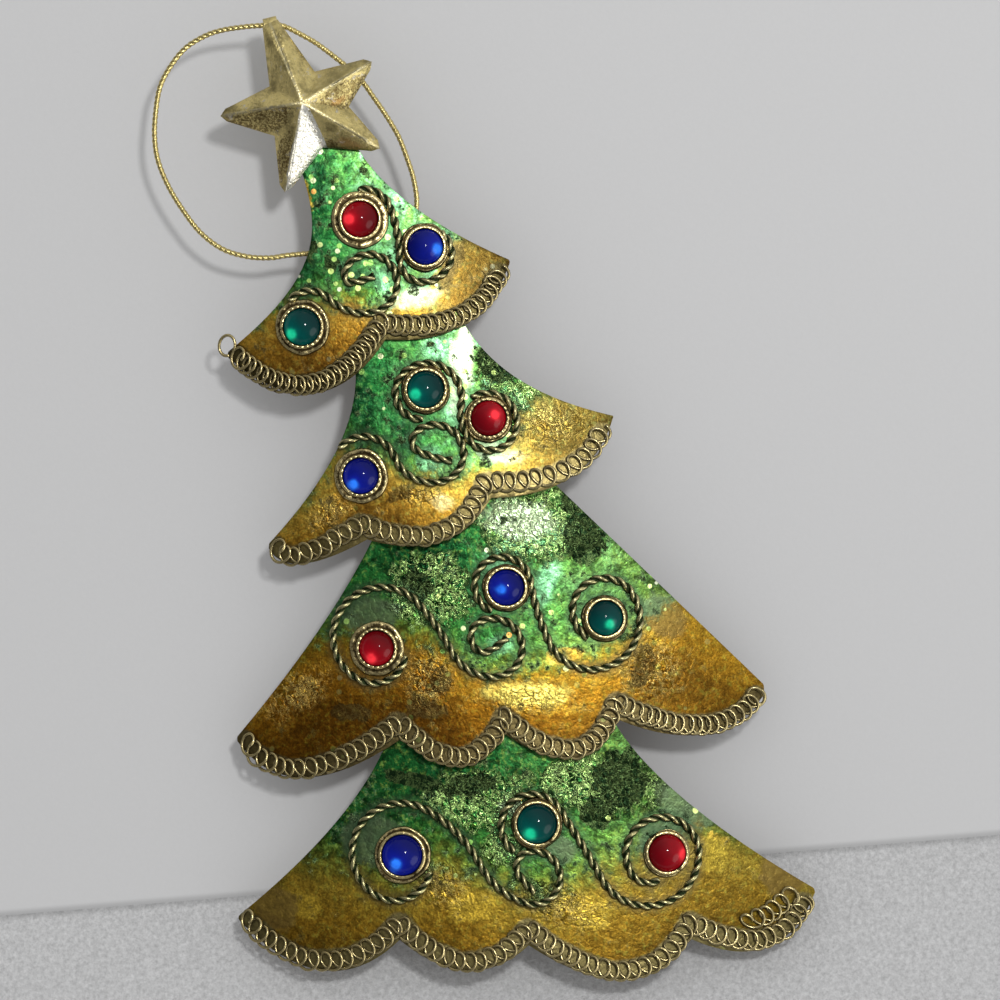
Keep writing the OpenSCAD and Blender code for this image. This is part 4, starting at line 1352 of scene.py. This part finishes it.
    def patches_and_painted_light(self, colour, thread, crest):
        """Patches of painted sheen, of painted dark reflections and of dull satin."""
        net, mottle = self.net, self.mottle
        # Painted sheen: light cream on the gold and light green on the green
        sheen_colour = self.on_leaf((1.0, 0.82, self.leaf["sheen_blue"]), SHEEN_ON_GREEN)
        shine = net.span(mottle, 0.3, 0.55, 0.35, 0.8)
        colour = net.mix(net.times(self.torn("painted_sheen", 0.05, 0.5, 1.1), shine), colour, sheen_colour)
        # Painted dark reflections: dark patches painted near black, crossed by creases lit with painted
        # highlight
        dark_reflection = self.on_leaf(*DARK_REFLECTIONS)
        shade = net.mix(net.times(thread, 0.24), dark_reflection, net.mix(0.4, crest, dark_reflection))
        dark = net.times(self.torn("dark", 0.12, 0.26), self.on_leaf(0.75, 0.97))
        colour = net.mix(dark, colour, shade)
        satin = self.on_leaf(net.mix(mottle, *SATIN_GOLD), net.mix(mottle, *SATIN_GREEN))
        return net.mix(net.times(self.torn("dull", 0.15, 0.4, 0.7), 0.8), colour, satin)

    def margin_trim_and_specks(self, colour):
        """Bare metal along the scalloped edge, the sheet darkened round the trim, brown specks."""
        net = self.net
        # Bare metal under the coil, its tone partly painted shade between the curls
        bare = net.mix(self.speck, (0.0, 0.0, 0.0), self.leaf["margin"])
        colour = net.mix(self.torn("margin", 0.3, 0.5, 0.5), colour, bare)
        near_trim = net.times_plus(self.tear, 0.6, self.layer["near_trim"])
        colour = net.mix(net.span(near_trim, 0.1, 0.9, 0.0, 0.8), colour, self.on_leaf(*NEAR_TRIM_TONES))
        grain = net.noise(self.p, 4.5, 3.0, 0.6)
        return net.mix(net.span(grain, 0.66, 0.72, 0.0, 0.5), colour, BROWN_SPECK)

    def glittered(self, colour):
        """Glitter sown over the green, with a few dots on the gold."""
        net = self.net
        share = self.leaf["glitter"]
        dots = net.group("Glitter dots", Vector=self.p, Spacing=2.0, Dot=0.21, Share=share)
        sown = net.times(dots["Mask"], net.span(self.layer["dye"], -3.0, 1.0, 0.15, 1.0))
        return net.mix(sown, colour, net.ramp(dots["Tone"], GLINTS))


def metal_with_patina_and_highlights(name, bright, dark, dark_level, roughness, contrast):
    """Metal with a dark patina, and a bright colour on its crests that is also painted highlight."""
    material, net, p = new_material(name)
    blotch = net.noise(p, 0.8, 5.0, 0.65)
    fine = net.noise(p, 3.2, 4.0, 0.65)
    shown = net.times_plus(net.maths("SUBTRACT", net.layer("crest"), 0.6), contrast, blotch)
    shown = net.times_plus(net.maths("SUBTRACT", fine, 0.5), 0.7, shown)
    mask = net.span(shown, dark_level + 0.16, dark_level - 0.16)
    colour = net.mix(mask, bright, dark)
    stained = net.tint(colour, METAL_STAIN)
    colour = net.mix(net.span(fine, 0.58, 0.7, 0.0, 0.6), colour, stained)
    net.finish(
        net.principled(
            Base_Color=colour, Metallic=0.95,
            Roughness=net.span(mask, 0.0, 1.0, roughness, roughness + 0.2),
            Normal=net.bump(net.times_plus(blotch, 0.6, fine), 0.4, 0.07),
        )
    )
    return material


def star_material(star_gold):
    """Star under beige gold leaf: torn to brown, with painted shade, on the facets turned down; painted
    sheen on one.
    """
    material, net, p = new_material("star_leaf")
    layer = {name: net.layer(name) for name in (*STAR_PATCHES, "ridge")}
    tear = net.maths("SUBTRACT", net.noise(p, 0.7, 6.0, 0.7), 0.5)
    fine = net.noise(p, 2.6, 5.0, 0.7)
    cloud = net.times_plus(fine, 0.5, net.noise(p, 0.35, 3.0, 0.6))
    bronze = [part * 0.4 for part in star_gold]
    colour = net.mix(net.span(cloud, 0.52, 0.84), bronze, star_gold)
    colour = net.mix(net.times(layer["shade"], 0.75), colour, bronze)
    # Brown speckle gathered on the facets turned down, with painted shade there
    patches_and_painted_light = net.span(net.times_plus(tear, 1.6, layer["dark"]), 0.12, 0.3)
    patches_and_painted_light = net.times(patches_and_painted_light, net.span(fine, 0.6, 0.46))
    colour = net.mix(net.times(patches_and_painted_light, 0.8), colour, STAR_SPECKLE_AND_SHADE)
    coppery = net.span(net.times_plus(tear, 1.6, layer["copper"]), 0.15, 0.6)
    colour = net.mix(net.times(coppery, 0.65), colour, STAR_COPPER)
    # Painted sheen: one facet painted near white
    star_sheen = net.span(net.times_plus(tear, 0.4, layer["painted_sheen"]), 0.02, 0.12)
    colour = net.mix(net.times(star_sheen, net.span(fine, 0.66, 0.56)), colour, STAR_SHEEN)
    # Painted highlight along the ridges, where the leaf is also thinned by use
    rubbed_and_lit = net.span(layer["ridge"], 0.2, 0.9, 0.0, 0.45)
    colour = net.mix(net.times(rubbed_and_lit, net.span(fine, 0.66, 0.44)), colour, STAR_RIDGE_HIGHLIGHT)
    colour = net.mix(net.span(fine, 0.59, 0.68, 0.0, 0.65), colour, STAR_SPECK)
    crumple = net.group("Leaf creases", Vector=p, Cell=1.2)
    relief = net.times_plus(fine, 0.8, crumple["Height"])
    net.finish(
        net.principled(
            Base_Color=colour, Metallic=0.93, Roughness=net.span(fine, 0.35, 0.65, 0.3, 0.46),
            Normal=net.bump(relief, 0.35, 0.12),
        )
    )
    return material


def stone_material(name, deep, glow):
    """Clear coloured cabochon: deep body colour, with the light that enters it gathered low."""
    material, net, p = new_material(name)
    cloud = net.span(net.noise(p, 0.5, 3.0, 0.6), 0.2, 0.8, 0.75, 1.2)
    gathered = net.times(net.layer("glow"), cloud)
    colour = net.mix(net.span(gathered, 0.0, 0.45), net.tint(deep, STONE_SHADE), deep)
    colour = net.mix(net.span(gathered, 0.35, 1.1), colour, glow)
    light = net.mix(net.span(gathered, 0.4, 1.2), (0.0, 0.0, 0.0), glow)
    net.finish(
        net.principled(
            Base_Color=colour, Roughness=0.3, Emission_Color=light, Emission_Strength=0.4,
            Specular_IOR_Level=0.0, Coat_Weight=0.4, Coat_Roughness=0.07,
        )
    )
    return material


def solder_material():
    """Dull grey solder."""
    material, net, p = new_material("solder_dull")
    grain = net.noise(p, 0.8, 5.0, 0.6)
    net.finish(
        net.principled(
            Base_Color=net.ramp(grain, SOLDER_STOPS), Metallic=0.9,
            Roughness=net.span(grain, 0.3, 0.7, 0.35, 0.55), Normal=net.bump(grain, 0.6, 0.2),
        )
    )
    return material


# The stage


def stage_material(name, grey, fleece, roughness):
    """Pale matt surface, seen through from behind so that it never hides the object."""
    material, net, p = new_material(name)
    pile = net.noise(p, 1.5, 4.0, 0.75)
    low, high = grey * (1 - fleece * 0.6), grey * (1 + fleece * 0.6)
    colour = net.ramp(pile, [(0.3, (low, low, low)), (0.7, (high, high, high))])
    # A soft dark line where the two surfaces meet: painted shadow in the corner
    (x0, _, z0), (x1, _, z1) = WALL_CORNERS[:2]
    rise = (z1 - z0) / (x1 - x0)
    axes = net.split(p)
    foot = net.times_plus(axes["X"], -rise, axes["Z"])
    foot = net.maths("ABSOLUTE", net.maths("SUBTRACT", foot, (z0 - rise * x0) / MM))
    colour = net.tint(colour, net.span(foot, 0.1, 1.2, 0.72, 1.0))
    matt = net.principled(
        Base_Color=colour, Roughness=roughness, Normal=net.bump(pile, fleece, 1.6)
    )
    behind = net.add("ShaderNodeNewGeometry").outputs["Backfacing"]
    clear = net.add("ShaderNodeBsdfTransparent").outputs[0]
    net.finish(net.add("ShaderNodeMixShader", {0: behind, 1: matt, 2: clear}).outputs[0])
    return material


def stage_sheet(name, corners, material):
    """A flat four-cornered surface of the stage."""
    bm = bmesh.new()
    bm.faces.new([bm.verts.new(corner) for corner in corners])
    bm.normal_update()
    mesh = to_mesh(name, bm)
    mesh.materials.append(material)
    return link(name, mesh)


def add_key_lamp():
    """One soft lamp, above the camera and to the right."""
    data = bpy.data.lights.new("key", "AREA")
    data.shape = "DISK"
    data.size = KEY_SIZE
    data.energy = KEY_POWER
    lamp = link("key", data)
    lamp.location = KEY_AT
    way = KEY_TARGET - lamp.location
    lamp.rotation_euler = way.to_track_quat("-Z", "Y").to_euler()


def add_room(scene):
    """Even light all round, and what metal and glass see of the room."""
    world = bpy.data.worlds.new("room")
    scene.world = world
    world.use_nodes = True
    world.node_tree.nodes.clear()
    net = Net(world.node_tree)
    path = net.add("ShaderNodeLightPath").outputs
    way = net.add("ShaderNodeTexCoord").outputs["Generated"]
    axes = net.split(way)
    # A dim room that brightens to the upper right
    slope = net.maths("ADD", net.times(axes["X"], 0.6), net.times(axes["Z"], 0.5))
    room = net.ramp(net.span(slope, -0.5, 0.6), ROOM_STOPS)
    # A bright window low on the right lights the facets that face it
    facing = net.add(
        "ShaderNodeVectorMath", {0: way, 1: WINDOW_WAY}, operation="DOT_PRODUCT"
    ).outputs["Value"]
    room = net.mix(net.span(facing, 0.9, 0.97), room, WINDOW_LIGHT)
    plain = net.mix(path["Is Camera Ray"], ROOM_LIGHT, BACKDROP)
    seen = net.maths("MAXIMUM", path["Is Glossy Ray"], path["Is Transmission Ray"])
    sky = net.add("ShaderNodeBackground", {"Color": net.mix(seen, plain, room), "Strength": 1.0})
    net.add("ShaderNodeOutputWorld", {"Surface": sky.outputs[0]})


def add_camera(scene):
    """Straight on, with a long lens: one pixel is 0.16 mm at the hanging eye."""
    data = bpy.data.cameras.new("camera")
    data.lens = CAMERA_LENS
    data.sensor_width = 36
    data.clip_end = 20
    camera = link("camera", data)
    camera.location = CAMERA_AT
    camera.rotation_euler = (math.pi / 2, 0, 0)
    scene.camera = camera


# The add-on


def colour_property(name, description, default):
    return bpy.props.FloatVectorProperty(
        name=name, description=description, default=default, subtype="COLOR", min=0, max=1
    )


def length_property(name, description, default, least):
    return bpy.props.FloatProperty(
        name=name, description=description, default=default, min=least, unit="LENGTH"
    )


class OrnamentSettings(bpy.types.PropertyGroup):
    """Sizes and colours that a maker would change."""

    strand_d: length_property("Strand", "Diameter of one strand of a scroll", 0.00067, 0.0003)
    scroll_lay: length_property("Scroll lay", "Length of a full twist of a scroll", 0.0039, 0.001)
    coil_wire_d: length_property("Coil wire", "Diameter of the edge coils' wire", 0.0005, 0.0002)
    cord_d: length_property("Cord", "Diameter of the cord", 0.0009, 0.0004)
    cord_lay: length_property("Cord lay", "Length of a full twist of the cord", 0.0026, 0.001)
    bare_metal: colour_property("Bare metal", "Satin sheet without its leaf", (0.26, 0.18, 0.06))
    # The crest colours also stand for painted highlight on the wires
    wire_crest: colour_property("Wire crest", "Scroll wire where it is rubbed", (0.52, 0.48, 0.24))
    wire_patina: colour_property("Wire patina", "Scroll wire in its grooves", (0.022, 0.034, 0.012))
    star_gold: colour_property("Star gold", "Leaf on the star", (0.8, 0.66, 0.28))
    brass: colour_property("Brass", "Bright brass of the coils and cups", (0.74, 0.61, 0.3))
    patina: colour_property("Patina", "Dark brown patina", (0.06, 0.042, 0.016))
    ruby: colour_property("Red stone", "Body colour of the red stones", (0.38, 0.003, 0.011))
    sapphire: colour_property("Blue stone", "Body colour of the blue stones", (0.005, 0.013, 0.32))
    emerald: colour_property("Green stone", "Body colour of the green stones", (0.0, 0.09, 0.078))
    cord_gold: colour_property("Cord gold", "Metallic thread of the cord", (0.72, 0.59, 0.24))


class ORNAMENT_OT_sheets(bpy.types.Operator):
    """Bowed and leafed sheets of the four tiers"""

    bl_idname = "ornament.sheets"
    bl_label = "Sheets"

    def execute(self, context):
        for n in TIERS:
            material = Foil(n, context.scene.ornament.bare_metal).make()
            piece("sheet_%d" % n, sheet_mesh(n), "tree", material, "tier_%d" % n)
        return {"FINISHED"}


class ORNAMENT_OT_edge_coils(bpy.types.Operator):
    """Flattened wire coils along the scalloped edges"""

    bl_idname = "ornament.edge_coils"
    bl_label = "Edge coils"

    def execute(self, context):
        settings = context.scene.ornament
        wire = settings.coil_wire_d / MM
        brass = [part * COIL_TONE for part in settings.brass]
        material = metal_with_patina_and_highlights(
            "coil_wire", brass, settings.patina, dark_level=0.8, roughness=0.24, contrast=2.0
        )
        section = strand_section(wire / 2, strands=1, depth=0, sides=8)
        for n in TIERS:
            lines = [coil_points(n, coil_line(n), wire)]
            if n == 1:
                lines.append(stray_ring())
            if n == 4:
                lines.append(coil_points(n, resample(SECOND_ROW, COIL_STEP), wire))
            mesh = sweep("coil_%d" % n, lines, section)
            # Counted toward the front, the crest paints each coil wire lighter at its front and darker at
            # its back: painted shade
            store_crest(mesh, lines, wire / 2, to_front=True)
            piece("coil_%d" % n, mesh, "tree", material, "edge_coil_%d" % n)
        return {"FINISHED"}


class ORNAMENT_OT_scrolls(bpy.types.Operator):
    """Scrolls bent from two twisted strands"""

    bl_idname = "ornament.scrolls"
    bl_label = "Scrolls"

    def execute(self, context):
        settings = context.scene.ornament
        strand, lay = settings.strand_d / MM, settings.scroll_lay / MM
        material = metal_with_patina_and_highlights(
            "twisted_wire", settings.wire_crest, settings.wire_patina, dark_level=0.78, roughness=0.26,
            contrast=1.4,
        )
        section = strand_section(strand, strands=2, depth=0.62, sides=16)
        for node in SCROLLS:
            name = node + "_wire"
            line = scroll_points(node, strand - 0.05)
            mesh = sweep(name, [line], section, lay)
            store_crest(mesh, [line], strand)
            piece(name, mesh, "tree", material, node)
        return {"FINISHED"}


class ORNAMENT_OT_cups(bpy.types.Operator):
    """Brass cups with a raised lip and a serrated wall"""

    bl_idname = "ornament.cups"
    bl_label = "Cups"

    def execute(self, context):
        settings = context.scene.ornament
        material = metal_with_patina_and_highlights(
            "cup_metal", settings.brass, settings.patina, dark_level=0.56, roughness=0.22, contrast=1.1
        )
        for key, stone in STONES.items():
            bm = cup_mesh(key, STONE_R * stone.size + 0.05)
            seat_on_tier(bm, key)
            node = "cup_%d_%s" % key
            piece(node + "_metal", bm, "tree", material, node)
        return {"FINISHED"}


class ORNAMENT_OT_stones(bpy.types.Operator):
    """Domed stones, clear red, blue and green"""

    bl_idname = "ornament.stones"
    bl_label = "Stones"

    def execute(self, context):
        settings = context.scene.ornament
        bodies = {"red": settings.ruby, "blue": settings.sapphire, "green": settings.emerald}
        materials = {
            colour: stone_material("stone_" + colour, bodies[colour], GLOW_COLOURS[colour])
            for colour in COLOURS
        }
        for key in STONES:
            bm = dome_mesh(key)
            seat_on_tier(bm, key)
            node = "stone_%d_%s" % key
            piece(node + "_dome", bm, "tree", materials[key[1]], node)
        return {"FINISHED"}


class ORNAMENT_OT_star(bpy.types.Operator):
    """Pressed star with the hanging eye rolled from its top arm"""

    bl_idname = "ornament.star"
    bl_label = "Star"

    def execute(self, context):
        material = star_material(context.scene.ornament.star_gold)
        piece("star_pressed", star_mesh(), "tree", material, "star")
        return {"FINISHED"}


class ORNAMENT_OT_cord(bpy.types.Operator):
    """Twisted metallic cord loop and its knot"""

    bl_idname = "ornament.cord"
    bl_label = "Cord"

    def execute(self, context):
        settings = context.scene.ornament
        radius, lay = settings.cord_d / MM / 2, settings.cord_lay / MM
        section = strand_section(radius, strands=3, depth=0.3, sides=15)
        material = metal_with_patina_and_highlights(
            "cord_thread", settings.cord_gold, CORD_GROOVE, dark_level=0.64, roughness=0.26, contrast=2.2
        )
        route = [Vector(p) for p in CORD_ROUTE]
        line = [p * MM for p in resample(smooth_route(route), 0.22)]
        loops = {"cord_loop": [line], "cord_tie": overhand_knot()}
        for (name, lines), node in zip(loops.items(), ("hanging_cord", "cord_knot")):
            mesh = sweep(name, lines, section, lay)
            store_crest(mesh, lines, radius)
            piece(name, mesh, "cord", material, node)
        return {"FINISHED"}


class ORNAMENT_OT_solder(bpy.types.Operator):
    """Dull solder behind the laps and inside the star"""

    bl_idname = "ornament.solder"
    bl_label = "Solder"

    def execute(self, context):
        material = solder_material()
        for node in ("star_solder", "lap_solder_2", "lap_solder_3", "lap_solder_4"):
            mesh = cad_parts[node].data
            mesh.materials.clear()
            mesh.materials.append(material)
        return {"FINISHED"}


class ORNAMENT_OT_stage(bpy.types.Operator):
    """Wall, shelf, lamp, room and camera"""

    bl_idname = "ornament.stage"
    bl_label = "Stage"

    def execute(self, context):
        paint = stage_material("wall_paint", grey=0.57, fleece=0.02, roughness=0.5)
        fleece = stage_material("shelf_fleece", grey=0.55, fleece=0.4, roughness=0.9)
        wall = stage_sheet("wall", WALL_CORNERS, paint)
        shelf = stage_sheet("shelf", SHELF_CORNERS, fleece)
        add_key_lamp()
        add_room(context.scene)
        add_camera(context.scene)
        return {"FINISHED"}


class ORNAMENT_PT_panel(bpy.types.Panel):
    """Lists the settings and the pieces in the sidebar"""

    bl_idname = "ORNAMENT_PT_panel"
    bl_label = "Tree ornament"
    bl_space_type = "VIEW_3D"
    bl_region_type = "UI"
    bl_category = "Ornament"

    def draw(self, context):
        for name in OrnamentSettings.__annotations__:
            self.layout.prop(context.scene.ornament, name)
        for step in STEPS:
            self.layout.operator(step.bl_idname)


STEPS = (
    ORNAMENT_OT_stage,
    ORNAMENT_OT_cord,
    ORNAMENT_OT_star,
    ORNAMENT_OT_sheets,
    ORNAMENT_OT_edge_coils,
    ORNAMENT_OT_scrolls,
    ORNAMENT_OT_cups,
    ORNAMENT_OT_stones,
    ORNAMENT_OT_solder,
)


def register():
    for cls in (OrnamentSettings, *STEPS, ORNAMENT_PT_panel):
        bpy.utils.register_class(cls)
    bpy.types.Scene.ornament = bpy.props.PointerProperty(type=OrnamentSettings)


def unregister():
    del bpy.types.Scene.ornament
    for cls in reversed((OrnamentSettings, *STEPS, ORNAMENT_PT_panel)):
        bpy.utils.unregister_class(cls)


def main():
    register()
    place_tiers()
    bpy.context.scene.view_settings.view_transform = "Standard"
    for step in STEPS:
        group, name = step.bl_idname.split(".")
        getattr(getattr(bpy.ops, group), name)()


if __name__ == "__main__":
    main()
